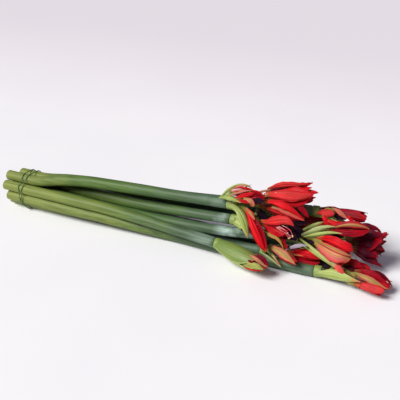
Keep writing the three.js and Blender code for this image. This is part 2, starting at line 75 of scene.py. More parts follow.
def srgb(red: float, green: float, blue: float) -> Colour:
    """Turns a screen colour of 0 to 255 into the linear light that a shader takes.

    Args:
        red: the red value.
        green: the green value.
        blue: the blue value.

    Returns:
        The three linear values.
    """
    shares = (red / 255.0, green / 255.0, blue / 255.0)
    return tuple(s / 12.92 if s <= 0.04045 else ((s + 0.055) / 1.055) ** 2.4 for s in shares)


def smoothstep(value: float, low: float, high: float) -> float:
    """Rises smoothly from 0 at low to 1 at high.

    Args:
        value: where on the slope.
        low: where it starts to rise.
        high: where it ends.

    Returns:
        The share, from 0 to 1.
    """
    t = min(max((value - low) / (high - low), 0.0), 1.0)
    return t * t * (3.0 - 2.0 * t)


def lerp(start: float, end: float, share: float) -> float:
    """The value at that share of the way from start to end."""
    return start + (end - start) * share


@dataclass(frozen=True)
class Station:
    """A place on a line: the point, the way ahead, level to the right, and up."""

    point: Vector
    along: Vector
    side: Vector
    up: Vector

    @classmethod
    def facing(cls, point: Vector, ahead: Vector) -> Station:
        """Makes the station at a point whose line runs that way.

        Args:
            point: the place.
            ahead: the way that the line runs, of any length.

        Returns:
            The station.
        """
        along = ahead.normalized()
        side = along.cross(UP).normalized()
        return cls(point, along, side, side.cross(along))

    def round(self, radius: float, turn: float) -> Vector:
        """The point at that radius from the line, turned that many radians from the right."""
        return self.point + self.side * (radius * math.cos(turn)) + self.up * (radius * math.sin(turn))

    def outward(self, angle: float) -> Vector:
        """The way out at an angle in degrees, counted from the back over the top."""
        turn = math.radians(angle)
        return self.up * math.sin(turn) - self.side * math.cos(turn)


@dataclass(frozen=True)
class Bend:
    """A Bezier line through its given points, walked by length."""

    points: tuple[Vector, ...]
    samples: int = 60

    def at(self, t: float) -> Vector:
        """The point at parameter t, by de Casteljau's rule.

        Args:
            t: from 0 at the start to 1 at the end.

        Returns:
            The point.
        """
        row = list(self.points)
        while len(row) > 1:
            row = [p.lerp(q, t) for p, q in zip(row, row[1:])]
        return row[0]

    def ahead(self, t: float) -> Vector:
        """The way that the line runs at parameter t."""
        step = 0.002
        return (self.at(min(t + step, 1.0)) - self.at(max(t - step, 0.0))).normalized()

    def marks(self) -> list[float]:
        """The length from the start to each of the samples.

        Returns:
            The lengths, the first of them 0.
        """
        found = [0.0]
        for k in range(self.samples):
            step = (self.at((k + 1) / self.samples) - self.at(k / self.samples)).length
            found.append(found[-1] + step)
        return found

    def stations(self, lengths: Sequence[float]) -> list[Station]:
        """The stations at those lengths from the start.

        Args:
            lengths: the lengths, in millimetres.

        Returns:
            One station for each.
        """
        marks = self.marks()
        found = []
        for length in lengths:
            k = 0
            while k < self.samples - 1 and marks[k + 1] < length:
                k += 1
            share = (length - marks[k]) / max(marks[k + 1] - marks[k], 1e-9)
            t = min(max((k + share) / self.samples, 0.0), 1.0)
            found.append(Station.facing(self.at(t), self.ahead(t)))
        return found


class Mark(Enum):
    """What a mesh says of its surface, point by point, for the finishes to read."""

    ALONG = "along"
    ACROSS = "across"
    SHADE = "shade"
    GREEN = "green"
    DARK = "dark"
    FADE = "fade"
    RIPE = "ripe"


class Shaper:
    """A mesh in the making, in millimetres along the bunch, with its marks."""

    RIM_THINS = 0.6
    WELD = 0.002
    SHARP_FROM = 70.0

    def __init__(self) -> None:
        """Starts with an empty mesh."""
        self.mesh = bmesh.new()
        self.layers = {mark: self.mesh.verts.layers.float.new(mark.value) for mark in Mark}

    def _grid(self, rows: int, columns: int) -> list[bmesh.types.BMVert]:
        """Adds a flat grid that runs from -1 to 1 both ways."""
        made = bmesh.ops.create_grid(self.mesh, x_segments=rows, y_segments=columns, size=1.0)
        return made["verts"]

    def _mark(self, vert: bmesh.types.BMVert, marks: dict[Mark, float]) -> None:
        """Writes the marks on a point."""
        for mark, value in marks.items():
            vert[self.layers[mark]] = value

    def sheet(
        self, surface: Surface, rows: int, columns: int, thickness: float, marks: dict[Mark, float]
    ) -> None:
        """Adds a thin blade with a wall.

        Args:
            surface: its middle, by u from 0 at the root to 1 at the tip and v from -1 to 1 across.
            rows: the faces along it.
            columns: the faces across it.
            thickness: the wall, in millimetres.
            marks: the marks that are the same all over it.
        """
        verts = self._grid(rows, columns)
        for vert in verts:
            u, v = (vert.co.x + 1.0) / 2.0, vert.co.y
            vert.co = surface(u, v)
            self._mark(vert, {Mark.ALONG: u, Mark.ACROSS: v, **marks})
        edges = list(dict.fromkeys(edge for vert in verts for edge in vert.link_edges))
        faces = list(dict.fromkeys(face for vert in verts for face in vert.link_faces))
        rim = [edge for edge in edges if edge.is_boundary]
        bmesh.ops.recalc_face_normals(self.mesh, faces=faces)
        self.mesh.normal_update()
        twins = bmesh.ops.duplicate(self.mesh, geom=verts + edges + faces)["vert_map"]
        for vert in verts:
            across = abs(vert[self.layers[Mark.ACROSS]])
            twins[vert].co = vert.co - vert.normal * thickness * (1.0 - self.RIM_THINS * across**3)
        for edge in rim:
            first, second = edge.verts
            self.mesh.faces.new((first, second, twins[second], twins[first]))

    def tube(
        self,
        rings: Sequence[tuple[Station, float, float]],
        columns: int,
        marks: dict[Mark, float],
        shape: Callable[[float, float], float] | None = None,
    ) -> None:
        """Adds a round body along its rings, and closes it where a ring has no radius.

        Args:
            rings: each ring's station, radius and share of the way along.
            columns: the faces round it.
            marks: the marks that are the same all over it.
            shape: a factor on the radius, by the share along and the turn in radians.
        """
        verts = self._grid(len(rings) - 1, columns)
        for vert in verts:
            row = round((vert.co.x + 1.0) / 2.0 * (len(rings) - 1))
            turn = math.pi * (vert.co.y + 1.0)
            station, radius, share = rings[row]
            factor = shape(share, turn) if shape else 1.0
            vert.co = station.round(radius * factor, turn)
            self._mark(vert, {Mark.ALONG: share, Mark.ACROSS: 0.0, **marks})
        bmesh.ops.remove_doubles(self.mesh, verts=verts, dist=self.WELD)

    def finish(self, name: str, material: bpy.types.Material) -> bpy.types.Object:
        """Turns the mesh into an object in the part's frame, in metres.

        Args:
            name: the object's name.
            material: its finish.

        Returns:
            The object.
        """
        bmesh.ops.translate(self.mesh, verts=self.mesh.verts, vec=-ORIGIN)
        bmesh.ops.scale(self.mesh, verts=self.mesh.verts, vec=(MM, MM, MM))
        bmesh.ops.recalc_face_normals(self.mesh, faces=self.mesh.faces)
        data = bpy.data.meshes.new(name)
        self.mesh.to_mesh(data)
        self.mesh.free()
        data.materials.append(material)
        data.shade_smooth()
        data.set_sharp_from_angle(angle=math.radians(self.SHARP_FROM))
        piece = bpy.data.objects.new(name, data)
        bpy.context.scene.collection.objects.link(piece)
        return piece


Socket = bpy.types.NodeSocket


class Graph:
    """A node tree in the making."""

    def __init__(self, tree: bpy.types.NodeTree) -> None:
        """Works on that tree."""
        self.tree = tree

    def feed(self, node: bpy.types.Node, inputs: dict[str | int, object]) -> bpy.types.Node:
        """Joins or sets a node's inputs.

        Args:
            node: the node.
            inputs: what each input takes: another node's output to join, or a value.

        Returns:
            The same node.
        """
        for key, value in inputs.items():
            if isinstance(value, Socket):
                self.tree.links.new(value, node.inputs[key])
            elif isinstance(value, tuple) and len(value) == 3 and node.inputs[key].type == "RGBA":
                node.inputs[key].default_value = (*value, 1.0)
            else:
                node.inputs[key].default_value = value
        return node

    def add(
        self, kind: str, inputs: dict[str | int, object] | None = None, **settings: object
    ) -> bpy.types.Node:
        """Adds a node.

        Args:
            kind: the node's class name after ShaderNode.
            inputs: what its inputs take.
            settings: the node's own settings.

        Returns:
            The node.
        """
        node = self.tree.nodes.new("ShaderNode" + kind)
        for key, value in settings.items():
            setattr(node, key, value)
        return self.feed(node, inputs or {})

    def group(self, tree: bpy.types.NodeTree, inputs: dict[str | int, object]) -> bpy.types.Node:
        """Places a shared group."""
        return self.add("Group", inputs, node_tree=tree)

    def marks(self, *marks: Mark) -> list[Socket]:
        """The piece's own marks."""
        return [self.add("Attribute", attribute_name=mark.value).outputs["Fac"] for mark in marks]

    def math(self, operation: str, *values: object, clamp: bool = False) -> Socket:
        """The result of a sum on values or sockets."""
        return self.add("Math", dict(enumerate(values)), operation=operation, use_clamp=clamp).outputs[0]

    def times(self, first: object, second: object, clamp: bool = False) -> Socket:
        """The product of two values or sockets."""
        return self.math("MULTIPLY", first, second, clamp=clamp)

    def ramp(self, value: object, low: float, high: float, start: float = 0.0, end: float = 1.0) -> Socket:
        """A smooth change from start at low to end at high."""
        inputs = {0: value, 1: low, 2: high, 3: start, 4: end}
        return self.add("MapRange", inputs, interpolation_type="SMOOTHSTEP").outputs[0]

    def mix(self, share: object, first: object, second: object, blend: str = "MIX") -> Socket:
        """A colour between two."""
        inputs = {0: share, 6: first, 7: second}
        return self.add("Mix", inputs, data_type="RGBA", blend_type=blend).outputs[2]

    def lit(self, colour: Socket, light: Socket) -> Socket:
        """The colour, made lighter or darker by a factor."""
        tint = self.add("CombineColor", {0: light, 1: light, 2: light}).outputs[0]
        return self.mix(1.0, colour, tint, "MULTIPLY")


def new_group(
    name: str, inputs: dict[str, float], outputs: Sequence[str]
) -> tuple[Graph, bpy.types.Node, bpy.types.Node]:
    """Makes an empty shared group of plain values.

    Args:
        name: its name.
        inputs: each input's name and usual value.
        outputs: each output's name.

    Returns:
        The graph, the node that gives the inputs, and the node that takes the outputs.
    """
    tree = bpy.data.node_groups.new(name, "ShaderNodeTree")
    for label, usual in inputs.items():
        socket = tree.interface.new_socket(label, in_out="INPUT", socket_type="NodeSocketFloat")
        socket.default_value = usual
    for label in outputs:
        tree.interface.new_socket(label, in_out="OUTPUT", socket_type="NodeSocketFloat")
    return Graph(tree), tree.nodes.new("NodeGroupInput"), tree.nodes.new("NodeGroupOutput")


@dataclass
class SharedEffects:
    """The effects that several finishes use, each built once."""

    mottle: bpy.types.NodeTree = field(init=False)
    veins: bpy.types.NodeTree = field(init=False)
    streaks: bpy.types.NodeTree = field(init=False)
    vein_drift: float = 3.0
    vein_noise: float = 5.0
    streak_seed: float = 31.0
    streak_span: Span = (0.28, 0.72)

    def __post_init__(self) -> None:
        """Builds the groups."""
        self.mottle = self._mottle()
        self.veins = self._veins()
        self.streaks = self._streaks()

    def _mottle(self) -> bpy.types.NodeTree:
        """Uneven growth: soft blotches, and fine streaks that run along the bunch.

        Returns:
            The group.
        """
        usual = {"Blotch Scale": 40.0, "Streak Scale": 900.0, "Stretch": 0.06}
        graph, given, taken = new_group("uneven growth", usual, ["Blotch", "Streak"])
        place = graph.add("TexCoord").outputs["Object"]
        blotch = graph.add("TexNoise", {"Vector": place, "Scale": given.outputs[0], "Detail": 4.0})
        stretch = graph.add("CombineXYZ", {0: given.outputs[2], 1: 1.0, 2: 1.0})
        drawn = graph.add("VectorMath", {0: place, 1: stretch.outputs[0]}, operation="MULTIPLY")
        streak = graph.add("TexNoise", {"Vector": drawn.outputs[0], "Scale": given.outputs[1], "Detail": 3.0})
        graph.feed(taken, {"Blotch": blotch.outputs["Fac"], "Streak": streak.outputs["Fac"]})
        return graph.tree

    def _veins(self) -> bpy.types.NodeTree:
        """Veins that run from root to tip across a blade.

        Returns:
            The group.
        """
        usual = {"Count": 7.0, "Waver": 0.35, "Sharpness": 3.0}
        graph, given, taken = new_group("veins", usual, ["Lines"])
        across, along, shade = graph.marks(Mark.ACROSS, Mark.ALONG, Mark.SHADE)
        spot = graph.add("CombineXYZ", {0: graph.times(along, self.vein_drift), 1: across, 2: shade})
        noise = graph.add("TexNoise", {"Vector": spot.outputs[0], "Scale": self.vein_noise, "Detail": 2.0})
        waver = graph.times(noise.outputs["Fac"], given.outputs[1])
        phase = graph.math("MULTIPLY_ADD", across, given.outputs[0], waver)
        wave = graph.math("ABSOLUTE", graph.math("SINE", graph.times(phase, math.pi)))
        lines = graph.math("POWER", graph.math("SUBTRACT", 1.0, wave, clamp=True), given.outputs[2])
        graph.feed(taken, {"Lines": lines})
        return graph.tree

    def _streaks(self) -> bpy.types.NodeTree:
        """Long streaks of colour that run from root to tip of a blade, another pattern on each.

        Returns:
            The group.
        """
        graph, given, taken = new_group("blade streaks", {"Count": 9.0, "Length": 1.4}, ["Streak"])
        across, along, shade = graph.marks(Mark.ACROSS, Mark.ALONG, Mark.SHADE)
        spot = graph.add("CombineXYZ", {
            0: graph.times(along, given.outputs[1]),
            1: graph.times(across, given.outputs[0]),
            2: graph.times(shade, self.streak_seed),
        })
        inputs = {"Vector": spot.outputs[0], "Scale": 1.0, "Detail": 3.0, "Roughness": 0.6}
        noise = graph.add("TexNoise", inputs)
        graph.feed(taken, {"Streak": graph.ramp(noise.outputs["Fac"], *self.streak_span)})
        return graph.tree


@dataclass(frozen=True)
class Ground:
    """What a finish starts from: its graph, the shared effects, and its own uneven growth."""

    graph: Graph
    shared: SharedEffects
    blotch: Socket
    streak: Socket

    def veins(self, count: float, waver: float, sharpness: float) -> Socket:
        """Places the shared veins."""
        inputs = {"Count": count, "Waver": waver, "Sharpness": sharpness}
        return self.graph.group(self.shared.veins, inputs).outputs["Lines"]

    def streaks(self, count: float, length: float) -> Socket:
        """Places the shared streaks of a blade."""
        return self.graph.group(self.shared.streaks, {"Count": count, "Length": length}).outputs["Streak"]


@dataclass(frozen=True)
class Coat:
    """What a finish's own graph gives: its colour, the height of its relief and its roughness."""

    colour: Socket
    height: Socket
    rough: Socket


@dataclass(frozen=True)
class Finish:
    """What every finish has: uneven growth, relief, roughness, gloss, and light that goes in a little."""

    title: str = ""
    blotch_scale: float = 40.0
    streak_scale: float = 900.0
    stretch: float = 0.06
    relief: float = 0.3
    relief_depth: float = 0.0004
    rough: Span = (0.4, 0.6)
    scatter: float = 0.0
    scatter_depth: float = 0.004
    gloss: float = 0.5

    def coat(self, ground: Ground) -> Coat:
        """Its colour, height and roughness; each finish has its own.

        Args:
            ground: what it starts from.

        Returns:
            The coat.
        """
        raise NotImplementedError

    def material(self, shared: SharedEffects) -> bpy.types.Material:
        """Builds the material.

        Args:
            shared: the effects that it draws on.

        Returns:
            The material.
        """
        material, graph, shader = new_material(self.title)
        uneven = graph.group(shared.mottle, {
            "Blotch Scale": self.blotch_scale,
            "Streak Scale": self.streak_scale,
            "Stretch": self.stretch,
        })
        coat = self.coat(Ground(graph, shared, uneven.outputs["Blotch"], uneven.outputs["Streak"]))
        relief = {"Strength": self.relief, "Distance": self.relief_depth, "Height": coat.height}
        graph.feed(shader, {
            "Base Color": coat.colour,
            "Roughness": coat.rough,
            "Normal": graph.add("Bump", relief).outputs[0],
            "Subsurface Weight": self.scatter,
            "Subsurface Scale": self.scatter_depth,
            "Specular IOR Level": self.gloss,
        })
        return material


def new_material(name: str) -> tuple[bpy.types.Material, Graph, bpy.types.Node]:
    """Makes a material with a bare Principled shader.

    Args:
        name: its name.

    Returns:
        The material, its graph and the shader.
    """
    material = bpy.data.materials.new(name)
    material.use_nodes = True
    shader = material.node_tree.nodes["Principled BSDF"]
    return material, Graph(material.node_tree), shader


@dataclass(frozen=True)
class StemFinish(Finish):
    """A scape: yellow-green at its cut end, greyer and waxy towards the flowers, with soft streaks."""

    title: str = "waxy stem"
    cut: Colour = srgb(122, 133, 64)
    middle: Colour = srgb(74, 104, 48)
    upper: Colour = srgb(72, 94, 70)
    waxy: Colour = srgb(176, 198, 188)
    stalk: Colour = srgb(138, 150, 66)
    flesh: Colour = srgb(150, 162, 104)
    blush: Colour = srgb(140, 70, 44)
    blotch_scale: float = 26.0
    streak_scale: float = 420.0
    stretch: float = 0.03
    relief: float = 0.25
    rough: Span = (0.44, 0.56)
    scatter: float = 0.08
    gloss: float = 0.26
    drift: float = 0.3
    greens: Span = (0.02, 0.26)
    greys: Span = (0.3, 0.66)
    # how far the paler green reaches from the cut; on the front stems it is partly painted light
    fresh_and_lit_reach: Ramp = (0.2, 0.6, 0.36, 0.02)
    wax_patches: Span = (0.42, 0.6)
    wax_share: float = 0.7
    wax_dulls: float = 0.25
    blush_share: float = 0.3
    is_stalk: Span = (0.4, 0.6)
    is_flesh: Span = (1.4, 1.6)
    light: Span = (0.76, 1.2)

    def coat(self, ground: Ground) -> Coat:
        """The colour by the length along the bunch, paler near the cut (on the front stems partly painted
        light), with wax near the head and pale flesh where it is cut.

        Args:
            ground: what it starts from.

        Returns:
            The coat.
        """
        graph = ground.graph
        along, ripe, shade, fade = graph.marks(Mark.ALONG, Mark.RIPE, Mark.SHADE, Mark.FADE)
        drift = graph.math("MULTIPLY_ADD", ground.blotch, self.drift, -0.5 * self.drift)
        shifted = graph.math("ADD", along, drift)
        base = graph.mix(graph.ramp(shifted, *self.greens), self.cut, self.middle)
        base = graph.mix(graph.ramp(shifted, *self.greys), base, self.upper)
        # paler near the cut: the stems' own colour, and on the front stems e and f also painted light
        base = graph.mix(graph.times(shade, graph.ramp(shifted, *self.fresh_and_lit_reach)), base, self.cut)
        wax = graph.times(fade, graph.ramp(ground.blotch, *self.wax_patches))
        base = graph.mix(graph.times(wax, self.wax_share), base, self.waxy)
        stalk = graph.mix(graph.times(shade, self.blush_share), self.stalk, self.blush)
        base = graph.mix(graph.ramp(ripe, *self.is_stalk), base, stalk)
        base = graph.mix(graph.ramp(ripe, *self.is_flesh), base, self.flesh)
        base = graph.lit(base, graph.ramp(ground.streak, *NOISE_SPAN, *self.light))
        dull = graph.ramp(ground.streak, *NOISE_SPAN, *self.rough)
        return Coat(base, ground.streak, graph.math("ADD", graph.times(wax, self.wax_dulls), dull))


@dataclass(frozen=True)
class SpatheFinish(Finish):
    """The sheath under the flowers: light yellow-green, veined, papery at its edges and tips."""

    title: str = "papery spathe"
    fresh: Colour = srgb(140, 160, 62)
    pale: Colour = srgb(188, 197, 116)
    deep: Colour = srgb(86, 112, 44)
    papery: Colour = srgb(152, 138, 160)
    rust: Colour = srgb(206, 66, 54)
    blotch_scale: float = 50.0
    streak_scale: float = 700.0
    stretch: float = 0.12
    rough: Span = (0.46, 0.58)
    scatter: float = 0.12
    foot: Ramp = (0.0, 0.5, 0.3, 0.0)
    vein_share: float = 0.75
    vein_height: float = 0.8
    edge: Span = (0.86, 1.0)
    edge_share: float = 0.5
    flushed: Span = (1.0, 1.3)
    flush_reach: float = 0.62
    tip: Span = (0.75, 1.0)
    rusts: Span = (0.7, 0.1)
    veined: tuple[float, float, float] = (7.0, 0.25, 1.0)
    streaked: Span = (8.0, 1.2)
    streaks: Span = (0.1, 0.8)

    def coat(self, ground: Ground) -> Coat:
        """The streaked green, darker at its foot and on its veins, pale at its edge and rusty at its tip.

        Args:
            ground: what it starts from.

        Returns:
            The coat.
        """
        graph = ground.graph
        along, across, shade = graph.marks(Mark.ALONG, Mark.ACROSS, Mark.SHADE)
        fade, dark = graph.marks(Mark.FADE, Mark.DARK)
        veins, streak = ground.veins(*self.veined), ground.streaks(*self.streaked)
        base = graph.mix(graph.ramp(streak, *self.streaks), self.fresh, self.pale)
        base = graph.mix(graph.ramp(along, *self.foot), base, self.deep)
        base = graph.mix(graph.times(veins, self.vein_share), base, self.deep)
        base = graph.mix(dark, base, self.deep)
        edge = graph.ramp(graph.math("ABSOLUTE", across), *self.edge)
        base = graph.mix(graph.times(edge, self.edge_share), base, self.pale)
        base = graph.mix(fade, base, self.papery)
        reach = graph.math("MULTIPLY_ADD", graph.ramp(shade, *self.flushed), self.flush_reach, along)
        rusty = graph.math("MULTIPLY_ADD", shade, *self.rusts)
        base = graph.mix(graph.times(graph.ramp(reach, *self.tip), rusty, clamp=True), base, self.rust)
        height = graph.math("SUBTRACT", ground.streak, graph.times(veins, self.vein_height))
        return Coat(base, height, graph.ramp(ground.blotch, *NOISE_SPAN, *self.rough))


@dataclass(frozen=True)
class PetalFinish(Finish):
    """A petal: satin red with streaks and veins, paler at its rim, its rib green or beige, faded or dark; the
    darkness is partly painted shade.
    """

    title: str = "satin petal"
    coral: Colour = srgb(218, 18, 29)
    scarlet: Colour = srgb(180, 5, 20)
    crimson: Colour = srgb(80, 2, 30)
    # painted shade: the near-black that stands for the shade between the petals
    shade_fill: Colour = srgb(24, 8, 28)
    pale: Colour = srgb(216, 164, 146)
    rim: Colour = srgb(222, 66, 60)
    claw: Colour = srgb(140, 142, 72)
    olive: Colour = srgb(132, 130, 56)
    beige: Colour = srgb(206, 140, 96)
    fresh: Colour = srgb(152, 168, 86)
    blotch_scale: float = 60.0
    streak_scale: float = 1300.0
    stretch: float = 0.35
    relief: float = 0.35
    rough: Span = (0.38, 0.52)
    scatter: float = 0.08
    scatter_depth: float = 0.003
    gloss: float = 0.12
    uneven: Span = (-0.3, 0.3)
    streak_reach: float = 0.9
    fades_off: Ramp = (0.45, 1.0, 1.0, 0.25)
    fades_in_streaks: Ramp = (0.0, 0.8, 0.45, 1.1)
    # painted shade: the darkness is deeper at the root than at the tip
    deepens_along: Ramp = (0.5, 0.95, 1.1, 0.62)
    deepens_in_streaks: Ramp = (0.0, 1.0, 0.7, 1.25)
    is_shade_fill: Span = (0.85, 1.2)
    vein_share: float = 0.3
    rib_broad: Span = (0.55, 0.1)
    rib_uneven: float = 0.3
    rib_narrows: Ramp = (0.5, 1.0, 1.0, 0.6)
    rib_edge: Ramp = (0.45, 1.15, 1.0, 0.0)
    rib_from: Span = (0.02, 0.35)
    rib_streaks: Ramp = (0.0, 0.6, 0.6, 1.0)
    rib_share: float = 0.92
    rib_olive: Span = (0.45, 1.0)
    ripe_streaks: Ramp = (0.0, 1.0, 1.15, 0.7)
    claw_along: Ramp = (0.02, 0.2, 1.0, 0.0)
    claw_green: Ramp = (0.0, 0.5, 0.35, 0.95)
    rim_edge: Ramp = (0.84, 1.0, 0.0, 0.5)
    rim_green: Ramp = (0.4, 1.0, 0.0, 0.8)
    light_streaks: Ramp = (0.1, 0.9, 1.16, 0.68)
    # painted shade: petals are darker towards the root
    light_along: Ramp = (0.0, 0.35, 0.8, 1.0)
    veined: tuple[float, float, float] = (9.0, 0.5, 2.5)
    streaked: Span = (9.0, 1.3)
    streak_height: float = 0.5

    def coat(self, ground: Ground) -> Coat:
        """The reds first, then fading and darkness (partly painted shade), veins, rib, claw and rim, and the
        lighter and darker streaks with painted shade towards the root.

        Args:
            ground: what it starts from.

        Returns:
            The coat.
        """
        graph = ground.graph
        along, across, fade, ripe = graph.marks(Mark.ALONG, Mark.ACROSS, Mark.FADE, Mark.RIPE)
        shade, green, dark = graph.marks(Mark.SHADE, Mark.GREEN, Mark.DARK)
        veins, streak = ground.veins(*self.veined), ground.streaks(*self.streaked)
        far = graph.math("ABSOLUTE", across)
        share = graph.math("MULTIPLY_ADD", streak, self.streak_reach, -0.5 * self.streak_reach)
        share = graph.math("ADD", shade, share)
        share = graph.math("ADD", share, graph.ramp(ground.blotch, *NOISE_SPAN, *self.uneven), clamp=True)
        base = graph.mix(share, self.coral, self.scarlet)
        faded = graph.times(fade, graph.ramp(far, *self.fades_off))
        faded = graph.times(faded, graph.ramp(streak, *self.fades_in_streaks), clamp=True)
        base = graph.mix(faded, base, self.pale)
        # darker towards crimson: partly the petals' own deeper red, partly painted shade on petals behind or
        # under others, deepest at the root
        deep = graph.times(dark, graph.ramp(along, *self.deepens_along))
        deep = graph.times(deep, graph.ramp(streak, *self.deepens_in_streaks), clamp=True)
        base = graph.mix(deep, base, self.crimson)
        # painted shade: the darkest marks turn near-black, for sheets set in the shade between the petals
        base = graph.mix(graph.ramp(dark, *self.is_shade_fill), base, self.shade_fill)
        base = graph.mix(graph.times(veins, self.vein_share), base, self.crimson)
        rib, kind = self._rib(graph, green, streak, far, along)
        base = graph.mix(graph.times(rib, self.rib_share), base, graph.mix(kind, self.beige, self.olive))
        ripe = graph.times(ripe, graph.ramp(streak, *self.ripe_streaks), clamp=True)
        base = graph.mix(ripe, base, self.fresh)
        claw = graph.times(graph.ramp(along, *self.claw_along), graph.ramp(green, *self.claw_green))
        base = graph.mix(claw, base, self.claw)
        # no paler rim where the petal is dark (partly painted shade), green or fresh
        worn = graph.math("MAXIMUM", deep, graph.math("MAXIMUM", graph.ramp(green, *self.rim_green), ripe))
        edge = graph.times(graph.ramp(far, *self.rim_edge), graph.math("SUBTRACT", 1.0, worn, clamp=True))
        base = graph.mix(edge, base, self.rim)
        # the factor lightens and darkens the streaks, and darkens the root as painted shade
        light = graph.times(graph.ramp(streak, *self.light_streaks), graph.ramp(along, *self.light_along))
        height = graph.math("SUBTRACT", graph.times(ground.streak, self.streak_height), veins)
        return Coat(graph.lit(base, light), height, graph.ramp(ground.blotch, *NOISE_SPAN, *self.rough))

    def _rib(
        self, graph: Graph, green: Socket, streak: Socket, far: Socket, along: Socket
    ) -> tuple[Socket, Socket]:
        """The broad green or beige rib, wider on a greener petal.

        Args:
            graph: the graph that it is built in.
            green: how green the petal is.
            streak: the petal's long streaks.
            far: how far off its middle.
            along: how far from root to tip.

        Returns:
            The rib's share, and the share of olive in it.
        """
        broad = graph.math("MULTIPLY_ADD", green, *self.rib_broad)
        broad = graph.times(broad, graph.ramp(along, *self.rib_narrows))
        near = graph.ramp(graph.math("DIVIDE", far, broad), *self.rib_edge)
        rib = graph.times(near, graph.ramp(green, *self.rib_from))
        rib = graph.times(rib, graph.ramp(streak, *self.rib_streaks), clamp=True)
        kind = graph.math("MULTIPLY_ADD", streak, self.rib_uneven, green)
        return rib, graph.ramp(kind, *self.rib_olive)


@dataclass(frozen=True)
class StamenFinish(Finish):
    """A stamen: pink filament with a cream anther."""

    title: str = "pink stamen"
    filament: Colour = srgb(210, 92, 106)
    root: Colour = srgb(224, 174, 164)
    anther: Colour = srgb(210, 174, 126)
    blotch_scale: float = 300.0
    streak_scale: float = 2500.0
    stretch: float = 0.5
    relief_depth: float = 0.0002
    scatter: float = 0.2
    scatter_depth: float = 0.002
    pink: Span = (0.0, 0.5)
    is_anther: Span = (0.4, 0.6)

    def coat(self, ground: Ground) -> Coat:
        """Pale at its root, then pink, and cream on the anther.

        Args:
            ground: what it starts from.

        Returns:
            The coat.
        """
        graph = ground.graph
        along, ripe = graph.marks(Mark.ALONG, Mark.RIPE)
        base = graph.mix(graph.ramp(along, *self.pink), self.root, self.filament)
        base = graph.mix(graph.ramp(ripe, *self.is_anther), base, self.anther)
        return Coat(base, ground.streak, graph.ramp(ground.blotch, *NOISE_SPAN, *self.rough))


@dataclass(frozen=True)
class CordFinish(Finish):
    """The tie: dark green laid cord, a little paler in fine streaks."""

    title: str = "green cord"
    hollow: Colour = srgb(60, 90, 54)
    crown: Colour = srgb(94, 128, 74)
    blotch_scale: float = 400.0
    streak_scale: float = 3000.0
    stretch: float = 1.0
    relief: float = 0.6
    relief_depth: float = 0.0002
    rough: Span = (0.55, 0.75)
    worn: Span = (0.6, 1.0)

    def coat(self, ground: Ground) -> Coat:
        """Two greens, by the cord's fibres.

        Args:
            ground: what it starts from.

        Returns:
            The coat.
        """
        graph = ground.graph
        (ripe,) = graph.marks(Mark.RIPE)
        share = graph.times(ripe, graph.ramp(ground.streak, *NOISE_SPAN, *self.worn))
        base = graph.mix(share, self.hollow, self.crown)
        return Coat(base, ground.streak, graph.ramp(ground.blotch, *NOISE_SPAN, *self.rough))


class Slot(Enum):
    """The material slots of the pieces."""

    STEM = "stem"
    SPATHE = "spathe"
    PETAL = "petal"
    STAMEN = "stamen"
    TIE = "tie"


@dataclass
class Workshop:
    """The finishes, and the putting of finished pieces in their places."""

    finishes: dict[Slot, bpy.types.Material] = field(init=False)

    def __post_init__(self) -> None:
        """Builds the finishes on their shared effects."""
        shared = SharedEffects()
        self.finishes = {
            Slot.STEM: StemFinish().material(shared),
            Slot.SPATHE: SpatheFinish().material(shared),
            Slot.PETAL: PetalFinish().material(shared),
            Slot.STAMEN: StamenFinish().material(shared),
            Slot.TIE: CordFinish().material(shared),
        }

    def place(self, shaper: Shaper, node: str, slot: Slot) -> bpy.types.Object:
        """Finishes a piece that stands for a node of the solids.

        Args:
            shaper: the piece's mesh.
            node: the node that it stands for.
            slot: the slot that it takes its finish from.

        Returns:
            The piece.
        """
        piece = shaper.finish(f"{node}_fine", self.finishes[slot])
        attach(piece, BODY)
        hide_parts(node)
        LOG.info("%s: %d faces", piece.name, len(piece.data.polygons))
        return piece


# The bundle at the tie: eight stems in a ring round the ninth
STEM_RADIUS_TIED = 8.4
STEM_RADIUS_FULL = 8.9
STEM_RADIUS_TOP = 7.8
STEM_WIDENS = (60.0, 150.0)
STEM_NARROWS = (200.0, 380.0)
SOLID_SIDES = 10
FLOOR = STEM_RADIUS_TOP * math.cos(math.pi / SOLID_SIDES)
GAP = 0.3
CORD_RADIUS = 0.85
RING_RADIUS = 22.6
RING_STEPS = 8
RING_FIRST = math.pi / RING_STEPS
TIE_HEIGHT = 2 * CORD_RADIUS + GAP + STEM_RADIUS_TIED + RING_RADIUS * math.sin(3 * RING_FIRST)
STRAIGHT_TO = 55.0


def ring_point(slot: int | None) -> tuple[float, float]:
    """Where a stem passes the tie.

    Args:
        slot: its place in the ring, or None for the middle stem.

    Returns:
        Its y and z.
    """
    if slot is None:
        return 0.0, TIE_HEIGHT
    angle = RING_FIRST + slot * 2.0 * math.pi / RING_STEPS
    return RING_RADIUS * math.cos(angle), TIE_HEIGHT + RING_RADIUS * math.sin(angle)


def stem_radius(x: float) -> float:
    """A stem's radius that far along the bunch."""
    wide = lerp(STEM_RADIUS_TIED, STEM_RADIUS_FULL, smoothstep(x, *STEM_WIDENS))
    return lerp(wide, STEM_RADIUS_TOP, smoothstep(x, *STEM_NARROWS))


